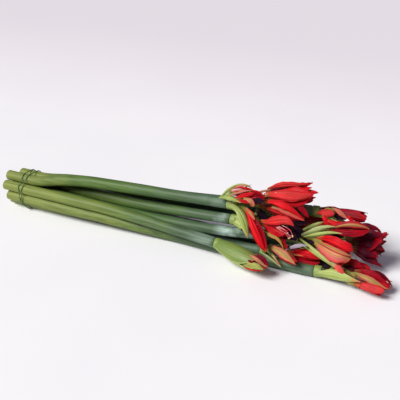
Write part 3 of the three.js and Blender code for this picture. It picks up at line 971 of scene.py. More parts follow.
@dataclass(frozen=True)
class StemPlan:
    """A stem's place: its slot in the ring, its cut end, the points that it passes and its umbel."""

    slot: int | None
    cut: float
    via: tuple[Point, ...]
    umbel: Point

    def knots(self) -> list[Vector]:
        """The points of its middle line.

        Returns:
            The cut end, the tie, the points that it passes and the umbel.
        """
        held = ring_point(self.slot)
        ends = [(self.cut, *held), (STRAIGHT_TO, *held)]
        return [Vector(p) for p in (*ends, *self.via, self.umbel)]

    def _slope(self, knots: list[Vector], i: int) -> Vector:
        """How the line runs at a knot, for each millimetre along the bunch.

        Args:
            knots: the line's points.
            i: which of them.

        Returns:
            The step for one millimetre of x.
        """
        if i <= 1:
            return Vector((1.0, 0.0, 0.0))
        step = knots[min(i + 1, len(knots) - 1)] - knots[i - 1]
        return step / step.x

    def at(self, x: float) -> Vector:
        """The middle line's point at x, never so low that the stem would sink into the surface.

        Args:
            x: how far along the bunch.

        Returns:
            The point.
        """
        knots = self.knots()
        i = 0
        while i < len(knots) - 2 and x > knots[i + 1].x:
            i += 1
        start, end = knots[i], knots[i + 1]
        width = end.x - start.x
        t = (x - start.x) / width
        point = start * (2 * t**3 - 3 * t**2 + 1) + end * (3 * t**2 - 2 * t**3)
        point += self._slope(knots, i) * (width * (t**3 - 2 * t**2 + t))
        point += self._slope(knots, i + 1) * (width * (t**3 - t**2))
        point.z = max(point.z, stem_radius(x) * math.cos(math.pi / SOLID_SIDES))
        return point

    def station(self, x: float) -> Station:
        """The station of the middle line at x."""
        return Station.facing(self.at(x), self.at(x + 0.5) - self.at(x - 0.5))

    @property
    def end(self) -> float:
        """How far along the bunch its umbel lies."""
        return self.umbel[0]


STEMS = {
    "a": StemPlan(2, 2, ((110, -4, 62), (160, 0, 68), (230, 5, 70.8), (310, 10, 73.2)), (406, 14, 77.5)),
    "b": StemPlan(
        -1, 11,
        ((110, 32.5, 23.2), (130, 34.8, 28), (200, 40, 38), (300, 41, 47.5), (365, 49, 48.5)),
        (440, 57, 50),
    ),
    "c": StemPlan(0, 6, ((130, 19.2, 39), (226, 17.8, 39.4), (307, 16, 44.8)), (411, 16, 52.5)),
    "d": StemPlan(None, 0, ((130, 1, 30), (200, 3, 27.7), (310, 8, 28.6), (396, 11, 33.6)), (495, 26, 43)),
    "e": StemPlan(
        3, 4,
        ((130, -19, 39.6), (190, -16, 38.3), (245, -15, 35.8), (323, -15, 30.6)),
        (401, -16, 25.5),
    ),
    "f": StemPlan(
        4, 9,
        ((130, -18, 21), (200, -13, 19), (250, -8, 15.5), (315, 0, 9.9), (400, 1, 8), (511, 1, 9.5)),
        (543, 2, 12),
    ),
    "g": StemPlan(
        5, 3,
        ((130, -2, FLOOR), (200, 5, FLOOR), (315, 18, FLOOR), (400, 21, FLOOR)),
        (456, 24, 8),
    ),
    "h": StemPlan(
        -2, 7,
        ((130, 17.5, FLOOR), (200, 24, 13), (330, 39, 14), (400, 44, FLOOR)),
        (505, 55, 14),
    ),
    "i": StemPlan(
        1, 15,
        ((110, 13.8, 56.8), (160, 17, 60.5), (230, 23, 62), (310, 30, 63.5), (430, 47, 69)),
        (517, 60, 71),
    ),
}


@dataclass(frozen=True)
class Habit:
    """How a flower holds its petals: their angles to the axis in degrees at root and tip, and their make."""

    outer: tuple[float, float]
    inner: tuple[float, float]
    layers: int
    step: float
    width: float
    wave: float
    fillers: int


class Opening(Enum):
    """How far a flower has opened."""

    TIGHT = Habit((21, -24), (21, -24), 1, 1.7, 0.16, 0.0, 1)
    BUD = Habit((21, -24), (18, -22), 2, 1.7, 0.18, 0.0, 0)
    LOOSE = Habit((24, -8), (20, -12), 2, 1.7, 0.2, 0.8, 1)
    FAT = Habit((33, -20), (29, -22), 2, 1.7, 0.28, 0.6, 1)
    HALF = Habit((28, 2), (22, -8), 3, 1.5, 0.22, 1.8, 2)
    OPEN = Habit((25, 33), (17, 12), 3, 1.3, 0.25, 2.4, 3)


@dataclass(frozen=True)
class BloomPlan:
    """A flower's place, opening, fullness, turn about its axis in degrees, greenness and darkness, the
    darkness partly painted shade.

    Its core is the share of its fullness that is left to the petals inside those listed.
    """

    base: Point
    tip: Point
    opening: Opening
    full: float
    turn: float
    green: float
    dark: float
    core: float = 1.0

    def station(self, s: float) -> Station:
        """The station on its axis that far from its base."""
        base, tip = Vector(self.base), Vector(self.tip)
        return Station.facing(base.lerp(tip, s / self.length), tip - base)

    @property
    def length(self) -> float:
        """The length from base to tip."""
        return (Vector(self.tip) - Vector(self.base)).length


# The darkness of the flowers hidden at the back and of h_open is partly painted shade.
BLOOMS = {
    "a_curl": BloomPlan((412, 5, 92), (448, 14, 96), Opening.HALF, 1.3, 20, 0.1, 0.3, 0.35),
    "a_hang": BloomPlan((426, 7, 73), (468, -20, 34), Opening.BUD, 1.0, 40, 0.1, 0, 0.7),
    "a_open": BloomPlan((438, 30, 89), (512, 48, 105), Opening.HALF, 0.87, 13, 0, 0.1, 0.7),
    "a_slim": BloomPlan((441, 22, 80), (505, 20, 74), Opening.BUD, 0.8, 0, 0.1, 0.2, 0.6),
    "b_upper": BloomPlan((470, 62, 53), (535, 92, 56), Opening.LOOSE, 0.9, 15, 0.1, 0.5, 1),
    "b_lower": BloomPlan((468, 66, 36), (522, 98, 24), Opening.BUD, 1.1, 50, 0.3, 0.4, 1),
    "c_half": BloomPlan((444, 12, 60), (494, -4, 58), Opening.HALF, 1.1, 30, 0.1, 0.6, 0.5),
    "c_back": BloomPlan((445, 33, 59), (503, 41, 67), Opening.BUD, 0.8, 5, 0.85, 0.4, 1),
    "d_red": BloomPlan((519, 44, 57), (556, 40, 70), Opening.BUD, 1.1, 50, 0, 0.3, 0.5),
    "d_upper": BloomPlan((538, 29, 60), (592, 36, 71), Opening.BUD, 1.3, 25, 0.4, 0.5, 0.7),
    "d_fat": BloomPlan((519, 23, 47.5), (574, 11, 34), Opening.FAT, 1.6, 35, 0.3, 0, 0.7),
    "e_front": BloomPlan((418, -25, 17.5), (473, -42.5, 18.5), Opening.TIGHT, 0.15, 10, 0.9, 0.1, 1),
    "e_middle": BloomPlan((421, -21, 26), (478, -32, 21), Opening.TIGHT, 0.15, 30, 0.7, 0.2, 1),
    "e_back": BloomPlan((418, -16.5, 19), (475, -30.5, 13.5), Opening.TIGHT, 0.15, 55, 0.5, 0.5, 1),
    "f_bud": BloomPlan((578, 8, 17), (634.2, 6, 13), Opening.LOOSE, 0.8, 0, 0.3, 0.5, 0.6),
    "f_floor": BloomPlan((588, -7, 12.5), (627, -13, 13), Opening.LOOSE, 0.8, 45, 0, 0.1, 0.5),
    "f_upper": BloomPlan((566, 21, 21), (602, 23, 21), Opening.BUD, 1.2, 45, 0.1, 0.35, 1),
    "g_olive": BloomPlan((470, 2, 30), (512, -19, 27), Opening.BUD, 1.3, 15, 0.6, 0.1, 0.7),
    "g_red": BloomPlan((483, 24, 16), (536, 16, 22), Opening.BUD, 2.2, 30, 0.1, 0.1, 0.75),
    "h_open": BloomPlan((556, 62, 37), (616, 59, 38.5), Opening.OPEN, 1.1, 45, 0, 0.8, 0.85),
    "h_low": BloomPlan((536, 78, 14), (590, 96, 14), Opening.BUD, 1.1, 20, 0.2, 0.6, 1),
    "i_curl": BloomPlan((530, 62, 76), (582, 64, 74), Opening.LOOSE, 1.2, 12, 0.1, 0.6, 0.5),
    "i_back": BloomPlan((532, 79, 66), (575, 98, 58), Opening.BUD, 1.0, 42, 0.2, 0.5, 1),
}


class Tone(Enum):
    """What a listed blade shows: its shade, how green its rib is, and how dark, faded and fresh it is."""

    CORAL = (0.1, 0.0, 0.0, 0.0)
    SCARLET = (0.7, 0.05, 0.0, 0.0)
    # the darker reds below are partly the petals' own colour and partly painted shade where they lie behind
    # or under others
    WINE = (0.9, 0.0, 0.45, 0.0)
    CRIMSON = (1.0, 0.0, 0.75, 0.0)
    # a near-black sheet: painted shade, set where there is only shade between the flowers
    NIGHT = (1.0, 0.0, 1.25, 0.0)
    # a pale blush, partly the petal's own colour and partly a painted highlight on upper petals
    BLUSHED = (0.2, 0.0, 0.0, 0.1)
    PALE = (0.2, 0.1, 0.0, 1.0)
    SALMON = (0.3, 0.0, 0.0, 0.6)
    BEIGE = (0.32, 0.4, 0.0, 0.6)
    STRAW = (0.31, 0.6, 0.0, 0.9)
    STRIPED = (0.25, 0.4, 0.0, 0.4)
    RUSSET = (0.4, 0.3, 0.15, 0.35)
    AMBER = (0.22, 0.75, 0.0, 0.2)
    OLIVE = (0.5, 1.05, 0.05, 0.0)
    UMBER = (0.72, 0.55, 0.3, 0.1)
    LIME = (0.42, 1.1, 0.0, 0.1, 0.45)
    MINT = (0.3, 0.2, 0.0, 0.1, 1.0)
    HONEY = (0.23, 0.72, 0.0, 0.55, 0.16)
    LEAFY = (0.4, 0.0, 0.12, 0.0)
    FLUSHED = (1.3, 0.0, 0.0, 0.1)
    PAPERY = (0.1, 0.0, 0.0, 0.9)
    FRESH = (0.1, 0.0, 0.0, 0.0)
    PEACH = (0.1, 0.62, 0.0, 0.55, 0.1)
    PLUM = (0.9, 0.0, 0.95, 0.0)
    HUSK = (0.4, 0.8, 0.0, 0.4)
    ROSY = (0.6, 0.0, 0.06, 0.12)
    DUSKY = (0.5, 0.5, 0.1, 0.6, 0.1)
    MILKY = (0.1, 0.0, 0.0, 0.16)

    def marks(self) -> dict[Mark, float]:
        """The marks that it puts on a blade."""
        return dict(zip((Mark.SHADE, Mark.GREEN, Mark.DARK, Mark.FADE, Mark.RIPE), self.value))


@dataclass(frozen=True)
class Blade:
    """A petal or bract given one by one: its middle line, half width, turn from the front and bow in degrees.
    """

    line: tuple[Point, ...]
    half: float
    turn: float
    bow: float
    blunt: float
    tone: Tone
    foot: float = 0.4
    tip: float = 0.2
    narrows: Span = (0.42, 0.86)
    taper: float = 1.7
    point: Span = (0.95, 0.5)
    nicks: Span = (0.05, 0.04)
    flutter: float = 0.12
    pleats: float = 0.07
    crease: float = 0.08

    def outline(self, u: float) -> float:
        """Half its width, as a share of its widest.

        Args:
            u: from 0 at the root to 1 at the tip.

        Returns:
            The share.
        """
        narrows = lerp(*self.narrows, self.blunt)
        t = max((u - narrows) / (1.0 - narrows), 0.0)
        end = max(1.0 - t**self.taper, 0.0) ** lerp(*self.point, self.blunt)
        return lerp(self.foot, 1.0, smoothstep(u, 0.0, 0.5)) * end

    def surface(self) -> Surface:
        """Its middle surface.

        Returns:
            The surface, by u from root to tip and v from edge to edge.
        """
        line = Bend(tuple(Vector(p) for p in self.line))
        bow, turn = math.radians(self.bow), math.radians(self.turn)
        phase = self.line[0][0] + self.line[-1][2]
        broad, fine = self.nicks

        def surface(u: float, v: float) -> Vector:
            """The blade's point at u and v.

            Args:
                u: from 0 at the root to 1 at the tip.
                v: from -1 to 1 across.

            Returns:
                The point.
            """
            along = line.ahead(u)
            facing = (FRONT - along * FRONT.dot(along)).normalized()
            side = along.cross(facing)
            out = facing * math.cos(turn) + side * math.sin(turn)
            side = along.cross(out)
            notch = broad * math.sin(13.0 * u + phase) + fine * math.sin(29.0 * u + 2.0 * phase + v)
            half = self.half * self.outline(min(max(u, 0.0), 1.0)) * (1.0 + notch) + self.tip
            radius = half / bow
            wave = math.sin(9.0 * u + phase + 2.0 * v) * v * v * smoothstep(u, 0.15, 0.6)
            wave *= self.flutter * half
            pleat = self.pleats * half * math.cos(11.0 * v + phase) * (1.0 - v * v)
            pleat -= self.crease * half * (1.0 - smoothstep(abs(v), 0.0, 0.2))
            shift = radius * (math.cos(v * bow) - 1.0) + wave + pleat
            return line.at(u) + out * shift + side * (radius * math.sin(v * bow))

        return surface


# The near-black blades are painted shade: dark sheets set where there is only shade between the flowers.
PETALS = {
    "a_curl": (
        Blade(((402.3, 1, 102.5), (411.1, 3.2, 112.6), (423.6, 8.3, 116.2), (430.5, 12, 109.4)),
              1.5, 30, 30, 0.1, Tone.PALE),
        Blade(((407.7, 2, 107.4), (418.8, 5, 112.5), (429.9, 8, 109.4), (435.2, 11, 106.6)),
              1.5, 15, 35, 0.1, Tone.SCARLET),
        Blade(((401.2, 0, 100.3), (409.7, 3.3, 107.2), (424.1, 5.2, 107), (429.7, 10, 107)),
              1.5, 0, 35, 0.1, Tone.BEIGE),
        Blade(((405.2, 3, 98.6), (417.3, 4.5, 101), (425.8, 7.5, 103.8), (438.8, 12, 100.5)),
              5.5, 0, 30, 0.3, Tone.NIGHT),
        Blade(((404.1, -1, 97), (414.2, 0.5, 103.6), (422.1, 3.5, 106.8), (432, 8, 107.7)),
              1.6, 0, 40, 0.1, Tone.SALMON),
        Blade(((411.8, -3, 96.5), (421.6, -3.3, 102.6), (431.9, 0.8, 104.2), (437.7, 5, 106.3)),
              3.3, 0, 45, 0.3, Tone.CORAL),
        Blade(((417.5, -4, 94.8), (423.3, -5.5, 96.2), (428.5, -5.5, 95.7), (433.1, -4, 93.7)),
              2.2, 0, 40, 0.2, Tone.SCARLET),
        Blade(((425.5, -4, 99), (435.8, -8, 102.4), (441.2, -9, 99.7), (440.5, -7, 91.3)),
              3.4, 0, -30, 0.7, Tone.PEACH),
        Blade(((429.2, 6, 106.2), (438.8, 6.2, 105.7), (444.7, 9.3, 101.1), (450, 11, 97)),
              4.6, 0, 45, 0.2, Tone.WINE),
        Blade(((430.9, 5, 109.5), (442.1, 3.3, 110.1), (445.1, 7.7, 106.7), (451.1, 9, 100.4)),
              1.9, 10, 45, 0.2, Tone.SCARLET),
        Blade(((432.7, 2, 95.9), (439.6, 2.2, 96), (447.2, 5.3, 97.2), (451.3, 7, 95.6)),
              4.2, 0, 30, 0.3, Tone.NIGHT),
    ),
    "a_open": (
        Blade(((446.7, 33, 102.1), (464.4, 28.5, 115.6), (476.6, 31.5, 115.5), (497.6, 42, 116.4)),
              5, 30, 45, 0.25, Tone.BLUSHED),
        Blade(((444.6, 24, 95.5), (468.4, 12.3, 112.5), (491.9, 18.7, 102), (512, 34, 108.8)),
              9, 0, 55, 0.3, Tone.BLUSHED),
        Blade(((450.4, 25, 90.6), (468.6, 17.5, 99.1), (496.2, 20.5, 88), (505.8, 34, 98.9)),
              5, -25, 40, 0.2, Tone.SCARLET),
        Blade(((466.8, 38, 104.8), (490.6, 37.7, 116.2), (493.7, 41.8, 113.4), (503.4, 46, 116.4)),
              4.6, 20, 35, 0.1, Tone.SCARLET),
        Blade(((477.9, 36, 101.8), (498.1, 36, 101.6), (505.1, 43.5, 108.3), (515.1, 45, 106.1)),
              4.6, 0, 35, 0.1, Tone.SCARLET),
        Blade(((476.1, 34, 94.7), (497.6, 37, 91.8), (500.7, 40, 97.5), (512.8, 43, 99.5)),
              4.2, -10, 35, 0.1, Tone.WINE),
        Blade(((442.2, 38, 94.1), (462, 37, 104.6), (485.1, 39, 101.6), (498, 44, 103.6)),
              9.5, 0, 30, 0.3, Tone.CRIMSON),
        Blade(((432.6, 24, 96.7), (437.4, 24.2, 99.4), (443.9, 27.3, 101.1), (452.5, 29, 104.9)),
              1.7, 20, 25, 0.2, Tone.STRAW),
        Blade(((437.3, 24, 91.1), (444.3, 22.7, 95.4), (453, 22.8, 101), (464.5, 20, 106.8)),
              2.5, 0, 30, 0.2, Tone.STRAW),
    ),
    "a_slim": (
        Blade(((445.4, 17, 89.7), (471.9, 11.2, 98.5), (482.9, 6.8, 97.5), (507, 13, 78.2)),
              5.6, 5, 50, 0.12, Tone.CORAL),
        Blade(((460.3, 15, 86), (480.2, 10.2, 87.2), (489.6, 11.3, 84), (507.8, 14, 76)),
              4.2, -30, 40, 0.1, Tone.RUSSET),
        Blade(((486.1, 27, 90.8), (497.8, 24.5, 90.7), (504.1, 23.5, 84.7), (510.4, 24, 77.1)),
              3.8, 10, 40, 0.15, Tone.WINE),
    ),
    "c_half": (
        Blade(((448.4, 4, 66.5), (468, -5.7, 67.6), (488, -10.8, 93.3), (499.9, -7, 76.1)),
              7.2, 10, 50, 0.25, Tone.BLUSHED),
        Blade(((451.6, 4, 62.9), (468.5, -9.7, 63), (476.4, -6.8, 61.5), (480.3, -10, 53.8)),
              4.4, 0, 40, 0.2, Tone.SCARLET),
        Blade(((451.8, 2, 59.2), (463.9, -10.5, 49.8), (482, -11, 66), (489.9, -13, 40.3)),
              2.9, -20, 45, 0.1, Tone.LIME),
        Blade(((479.1, -3, 53.9), (486.1, -6.5, 48.2), (489.9, -8.5, 46.4), (494.8, -9, 40)),
              3, 0, 35, 0.1, Tone.WINE),
        Blade(((460, 12, 60.5), (476.7, 8.2, 57.4), (491.4, 7.3, 57.5), (501, 5, 47.7)),
              8.5, 0, -30, 0.3, Tone.NIGHT),
        Blade(((477.3, 24, 65.3), (488.6, 21.7, 67.8), (496.3, 23.8, 66.1), (508.1, 26, 67.9)),
              5, 0, 20, 0.5, Tone.NIGHT),
        Blade(((479.2, 16, 57), (490, 15, 56), (499.2, 17, 54), (507.9, 22, 51.8)),
              7.5, 0, 20, 0.5, Tone.NIGHT),
        Blade(((436.7, 16, 76.7), (444.6, 17.7, 70.7), (452.7, 13.3, 64.8), (457.1, 12, 58.2)),
              6.5, 0, 20, 0.5, Tone.NIGHT),
    ),
    "a_hang": (
        Blade(((426.9, 1, 83.5), (445.2, -15.7, 73.4), (453.6, -20.3, 59.1), (468.3, -22, 35.2)),
              6.4, -5, 60, 0.12, Tone.CORAL),
        Blade(((439.3, -5, 78.4), (458.8, -16, 67.9), (463.8, -16.5, 49.7), (469.3, -20, 35.8)),
              2.8, 45, 60, 0.12, Tone.WINE),
        Blade(((428.5, -1, 84), (434.6, -4.7, 82.2), (441.2, -9.8, 79.7), (446.7, -12, 74.9)),
              3.4, 10, 40, 0.1, Tone.AMBER),
    ),
    "d_red": (
        Blade(((525.3, 41, 77.3), (528.2, 36.7, 74), (534.2, 36.8, 70.2), (537.5, 37, 64.4)),
              3.6, 0, 35, 0.5, Tone.CORAL),
        Blade(((534.2, 36, 71.8), (540.3, 33.5, 73.2), (546.6, 32.5, 72.4), (551.5, 33, 67.9)),
              3.9, 0, 35, 0.5, Tone.CORAL),
    ),
    "d_upper": (
        Blade(((539.2, 26, 64.7), (556, 19.5, 80.5), (576.6, 16, 88.6), (591, 29, 77)),
              5.2, 15, 55, 0.45, Tone.UMBER),
        Blade(((537.3, 24, 61.7), (554.5, 13.7, 75.7), (578.4, 12.3, 69.6), (591.6, 29, 75.8)),
              5.4, -20, 55, 0.4, Tone.WINE),
    ),
    "d_fat": (
        Blade(((527.4, 12, 50.5), (543.2, -2.5, 46.5), (563.9, -15.5, 52.7), (577.9, 0, 44.4)),
              12.4, -10, 68, 0.6, Tone.STRIPED),
        Blade(((527.9, 14, 52.7), (548.4, -0.2, 69.8), (570.3, -9.8, 61), (578.9, 3, 54.4)),
              7.6, 25, 60, 0.85, Tone.CORAL),
        Blade(((527.8, 10, 51.8), (545.5, -5.2, 59.6), (570.2, -16, 56.5), (579.5, -2, 49.4)),
              3, 0, 50, 0.2, Tone.HUSK),
        Blade(((540.9, 0, 39.9), (551.2, -6, 32.4), (562.7, -6, 31.4), (570.4, 0, 34.6)),
              2.5, -20, 40, 0.4, Tone.SCARLET),
        Blade(((566.7, -5, 38.3), (571.3, -5.2, 38.9), (575.4, -5.3, 44.2), (578.2, -1, 47.6)),
              2.6, -10, 35, 0.4, Tone.OLIVE),
        Blade(((521.7, 18, 50.3), (529.3, 10.3, 53.2), (531.3, 8.7, 52.5), (540.4, 4, 53.9)),
              3.4, 0, 45, 0.1, Tone.LIME),
        Blade(((497.6, 26, 36.8), (507, 24, 39.3), (512.6, 22, 41.5), (524.8, 20, 43.8)),
              4.2, 0, 20, 0.5, Tone.NIGHT),
        Blade(((527.3, 27, 54.6), (538.5, 25.7, 59), (549.7, 25.8, 58.3), (560.9, 23, 60.2)),
              3.6, 0, 20, 0.5, Tone.NIGHT),
    ),
    "e_front": (
        Blade(((439.2, -36, 16.2), (453.5, -46.8, 23), (465.4, -48.7, 30.7), (474.9, -46, 22.8)),
              5.2, -5, 50, 0.2, Tone.MINT),
        Blade(((441.6, -36, 12.4), (456.6, -43.8, 16.5), (463.6, -45.7, 18.9), (473.4, -46, 21.5)),
              1.5, -40, 40, 0.2, Tone.CORAL),
    ),
    "e_middle": (
        Blade(((447.4, -34, 32.3), (464.1, -44.3, 37.6), (465.7, -39.7, 28.1), (477.3, -38, 23.1)),
              3.1, 0, 50, 0.15, Tone.DUSKY),
        Blade(((446, -37, 25.1), (453.3, -42, 28), (455.9, -44, 29.3), (460.8, -43, 27.1)),
              1.6, 0, 40, 0.2, Tone.CRIMSON),
    ),
    "e_back": (
        Blade(((454.5, -30, 31.6), (466.2, -34, 34.4), (472, -35, 31.6), (476.5, -33, 22)),
              3.6, 15, 50, 0.2, Tone.CRIMSON),
    ),
    "f_bud": (
        Blade(((582.8, 4, 21.1), (601.3, -5.5, 26.9), (612.4, -7.5, 20.7), (628.5, -2, 13.7)),
              5, -10, 50, 0.15, Tone.HONEY),
        Blade(((584.1, 6, 23.2), (601.6, -1, 32.7), (614.4, -2, 27.7), (632.5, 3, 14)),
              4.6, 20, 50, 0.15, Tone.WINE),
        Blade(((591.9, 12, 23.1), (605.7, 7.3, 29.9), (623.6, 8.7, 26.4), (633.6, 7, 12.6)),
              3.6, 45, 50, 0.15, Tone.PLUM),
    ),
    "f_floor": (
        Blade(((590.5, -6, 15.7), (597.8, -15.3, 14.8), (614.7, -17.2, 19.9), (627.3, -16, 17.9)),
              5.2, -8, 25, 1, Tone.ROSY),
    ),
    "f_upper": (
        Blade(((565.9, 18, 26.1), (576.8, 8.2, 34), (584.3, 7.3, 35.3), (594.6, 11, 24.2)),
              6, 10, 50, 0.2, Tone.WINE),
        Blade(((565, 16, 20.6), (575.9, 8.3, 24.6), (582.9, 9.7, 23.9), (591.1, 11, 20.8)),
              4.4, -20, 40, 0.2, Tone.PLUM),
    ),
    "g_olive": (
        Blade(((462.8, -3, 33.8), (483.1, -14.7, 39.9), (495.6, -21.8, 38.5), (510.8, -20, 26.5)),
              7, 0, 55, 0.1, Tone.HONEY),
    ),
    "g_red": (
        Blade(((485.7, 18, 15.8), (506.7, 4.2, 30.9), (526.9, -2.2, 38.7), (537.4, 8, 26.9)),
              7, 5, 60, 0.4, Tone.SCARLET),
        Blade(((484.5, 18, 10.6), (506.1, 3, 20.9), (527.3, 0, 17.4), (535.4, 9, 21.7)),
              4.8, -30, 55, 0.3, Tone.WINE),
        Blade(((482.6, 16, 16.9), (495.6, 8.3, 23.3), (502.1, 6.7, 25.6), (514.8, 2, 28.8)),
              1.6, 0, 30, 0.2, Tone.AMBER),
        Blade(((525.7, 20, 17.7), (534.6, 17.2, 18.3), (543.4, 17.3, 15.1), (557.9, 16, 15.4)),
              7.5, 0, 20, 0.5, Tone.NIGHT),
    ),
    "h_open": (
        Blade(((560.4, 62, 48.4), (572.1, 58.5, 63.2), (589.2, 59.5, 67.7), (601.2, 65, 57.7)),
              5.2, 20, 35, 0.1, Tone.PLUM),
        Blade(((565.3, 56, 43.1), (584.5, 41.7, 63.6), (595.7, 45.3, 64.3), (611.3, 49, 59)),
              6.2, 5, 35, 0.1, Tone.PLUM),
        Blade(((569.6, 52, 38.3), (588, 36.8, 52.9), (598.6, 42.7, 48.8), (612.2, 47, 40.6)),
              6, 0, 35, 0.1, Tone.PLUM),
        Blade(((569, 52, 31.7), (585.4, 38.8, 37.5), (594.1, 39.2, 34), (605.9, 44, 29.7)),
              6, 0, 35, 0.1, Tone.PLUM),
        Blade(((569.5, 52, 27), (583.7, 42.5, 26), (598.3, 40.5, 26.1), (612.5, 46, 15)),
              5.4, -10, 35, 0.1, Tone.PLUM),
        Blade(((562.7, 66, 30.9), (571.2, 66, 32.4), (584, 66, 35.1), (594.6, 66, 33.6)),
              13, 0, 20, 0.4, Tone.NIGHT),
    ),
    "i_curl": (
        Blade(((514.3, 50, 71.7), (521.3, 47, 78.1), (530.4, 47, 78.9), (538.5, 50, 76.4)),
              5, 0, 30, 0.8, Tone.BLUSHED),
        Blade(((533, 55, 81.9), (544.5, 51.7, 84.9), (550.6, 52.8, 73.5), (556.7, 54, 72.4)),
              3.2, 10, 30, 0.2, Tone.BEIGE),
        Blade(((531.3, 61, 72.7), (538.6, 59.2, 74), (545.9, 60.3, 71.3), (553.2, 60, 67.3)),
              5.6, 0, -20, 0.4, Tone.NIGHT),
        Blade(((543.6, 66, 76.7), (555.8, 66.2, 76.4), (566.9, 69.3, 71.3), (578.8, 71, 69.9)),
              3, 20, 30, 0.1, Tone.WINE),
        Blade(((552.6, 60, 79.6), (560.5, 55.7, 77.5), (561.5, 55.8, 72), (563.3, 56, 67)),
              4.2, 0, 30, 0.3, Tone.CORAL),
        Blade(((513.6, 62, 73.8), (529.4, 60.3, 82.7), (544.2, 64.7, 77.9), (553.7, 66, 74.4)),
              2.6, 30, 30, 0.1, Tone.CRIMSON),
    ),
}


@dataclass
class Stem:
    """A flower stalk with its bore, neck and umbel, and the little stalks and ovaries that grow from it."""

    name: str
    plan: StemPlan
    bore_radius: float = 5.5
    bore_depth: float = 45.0
    neck_radius: float = 6.3
    neck_length: float = 12.0
    waxy: dict[str, float] = field(default_factory=lambda: {"c": 0.7, "d": 1.5, "e": 0.32, "a": 0.2})
    waxy_from: dict[str, float] = field(default_factory=lambda: {"d": 372.0})
    waxy_reach: float = 62.0
    waxy_rise: float = 32.0
    waxy_else: float = 0.12
    # paler near the cut: the stems' own colour, and for the front stems e and f also painted light
    fresh_and_lit: dict[str, float] = field(default_factory=lambda: {"e": 1.8, "f": 2.2, "c": 0.9, "g": 0.9})
    fresher_else: float = 0.6
    ring_step: float = 6.0
    columns: int = 30
    oval: float = 0.012
    swells: Span = (0.006, 0.004)
    ridges: float = 0.004
    held_in: float = 0.016
    stalk_radius: float = 2.5
    ovary_radius: float = 4.4
    ovary_length: float = 12.0
    tube_radius: float = 3.0
    stalk_columns: int = 14
    bulge: tuple[Span, ...] = ((0.2, 0.35), (0.36, 0.78), (0.5, 1.0), (0.64, 0.94), (0.78, 0.7), (0.9, 0.25))
    rib: float = 0.09
    reach: float = 600.0

    def _profile(self) -> list[tuple[float, float]]:
        """Radius and place of each ring, from the bottom of the bore, round the cut and on to the umbel.

        Returns:
            A radius and an x for each.
        """
        cut, end = self.plan.cut, self.plan.end
        shoulder = end - self.neck_length
        bore, deep, neck = self.bore_radius, self.bore_depth, self.neck_radius
        outer, full = stem_radius(cut), stem_radius(shoulder)
        bored = ((0.0, deep), (bore * 0.7, deep - 1.0), (bore, deep - 4.0), (bore, 20.0), (bore, 0.5))
        lip = ((bore + 0.4, 0.0), (outer - 0.5, 0.0), (outer - 0.1, 0.25), (outer, 0.7))
        waist = ((full, -1.2), (full - 0.5, -0.3), (neck, 0.3))
        crown = ((neck, -1.0), (0.85 * neck, 0.8), (0.55 * neck, 2.2), (0.0, 3.0))
        steps = round((shoulder - cut) / self.ring_step)
        places = [lerp(cut, shoulder, k / steps) for k in range(1, steps)]
        rings = [(radius, cut + at) for radius, at in bored + lip]
        rings += [(stem_radius(x), x) for x in places]
        rings += [(radius, shoulder + at) for radius, at in waist]
        return rings + [(radius, end + at) for radius, at in crown]

    def _scape(self, shaper: Shaper, draw: random.Random) -> None:
        """Adds the stalk itself, a little oval and never quite even.

        Args:
            shaper: the stem's mesh.
            draw: where its small differences come from.
        """
        marks = {Mark.SHADE: self.fresh_and_lit.get(self.name, self.fresher_else * draw.random())}
        turn = draw.uniform(0.0, math.pi)
        phases = [draw.uniform(0.0, 2.0 * math.pi) for _ in range(3)]

        def shape(share: float, angle: float) -> float:
            """The skin's factor on the radius.

            Args:
                share: how far along the stem.
                angle: the turn, in radians.

            Returns:
                The factor.
            """
            oval = self.oval * math.cos(2.0 * (angle - turn))
            swell = self.swells[0] * math.sin(34.0 * share + phases[0])
            swell += self.swells[1] * math.sin(81.0 * share + phases[1])
            ridges = self.ridges * math.cos(7.0 * angle + phases[2])
            return 1.0 + oval + swell + ridges - self.held_in

        rings = [(self.plan.station(x), radius, x / self.reach) for radius, x in self._profile()]
        shaper.tube(rings, self.columns, marks, shape)
        for vert in shaper.mesh.verts:
            at = vert.co.x - self.plan.cut
            from_axis = (vert.co - self.plan.at(vert.co.x)).length
            if at < 0.6 or (at < self.bore_depth + 1.0 and from_axis < self.bore_radius + 0.5):
                vert[shaper.layers[Mark.RIPE]] = 2.0
            start = self.waxy_from.get(self.name, self.plan.end - self.waxy_reach)
            amount = self.waxy.get(self.name, self.waxy_else)
            rise = smoothstep(vert.co.x, start, start + self.waxy_rise)
            vert[shaper.layers[Mark.FADE]] = amount * rise

    def _stalk(self, shaper: Shaper, bloom: BloomPlan, draw: random.Random) -> None:
        """Adds the little stalk of a flower and its three-ribbed ovary.

        Args:
            shaper: the stem's mesh.
            bloom: the flower.
            draw: where its small differences come from.
        """
        umbel, axis = self.plan.station(self.plan.end), bloom.station(0.0)
        start = umbel.point - umbel.along
        end = axis.point
        reach = (end - start).length
        line = Bend((start, start + umbel.along * (0.45 * reach), end - axis.along * (0.4 * reach), end))
        length = line.marks()[-1]
        ovary = min(self.ovary_length, 0.6 * length)
        thin, bare = self.stalk_radius, length - ovary
        profile = [(0.0, 0.0), (thin * 1.25, 0.3), (thin * 1.15, 0.15 * bare)]
        profile += [(thin, lerp(0.3, 1.0, k / 8) * bare) for k in range(9)]
        for share, swell in self.bulge:
            narrow = lerp(thin, self.tube_radius, share)
            profile.append((lerp(narrow, self.ovary_radius, swell), length - ovary * (1.0 - share)))
        profile += [(self.tube_radius, length), (0.0, length + 0.2)]
        stations = line.stations([s for _, s in profile])
        rings = [(station, r, s / length) for station, (r, s) in zip(stations, profile)]
        turn = draw.uniform(0.0, 2.0)

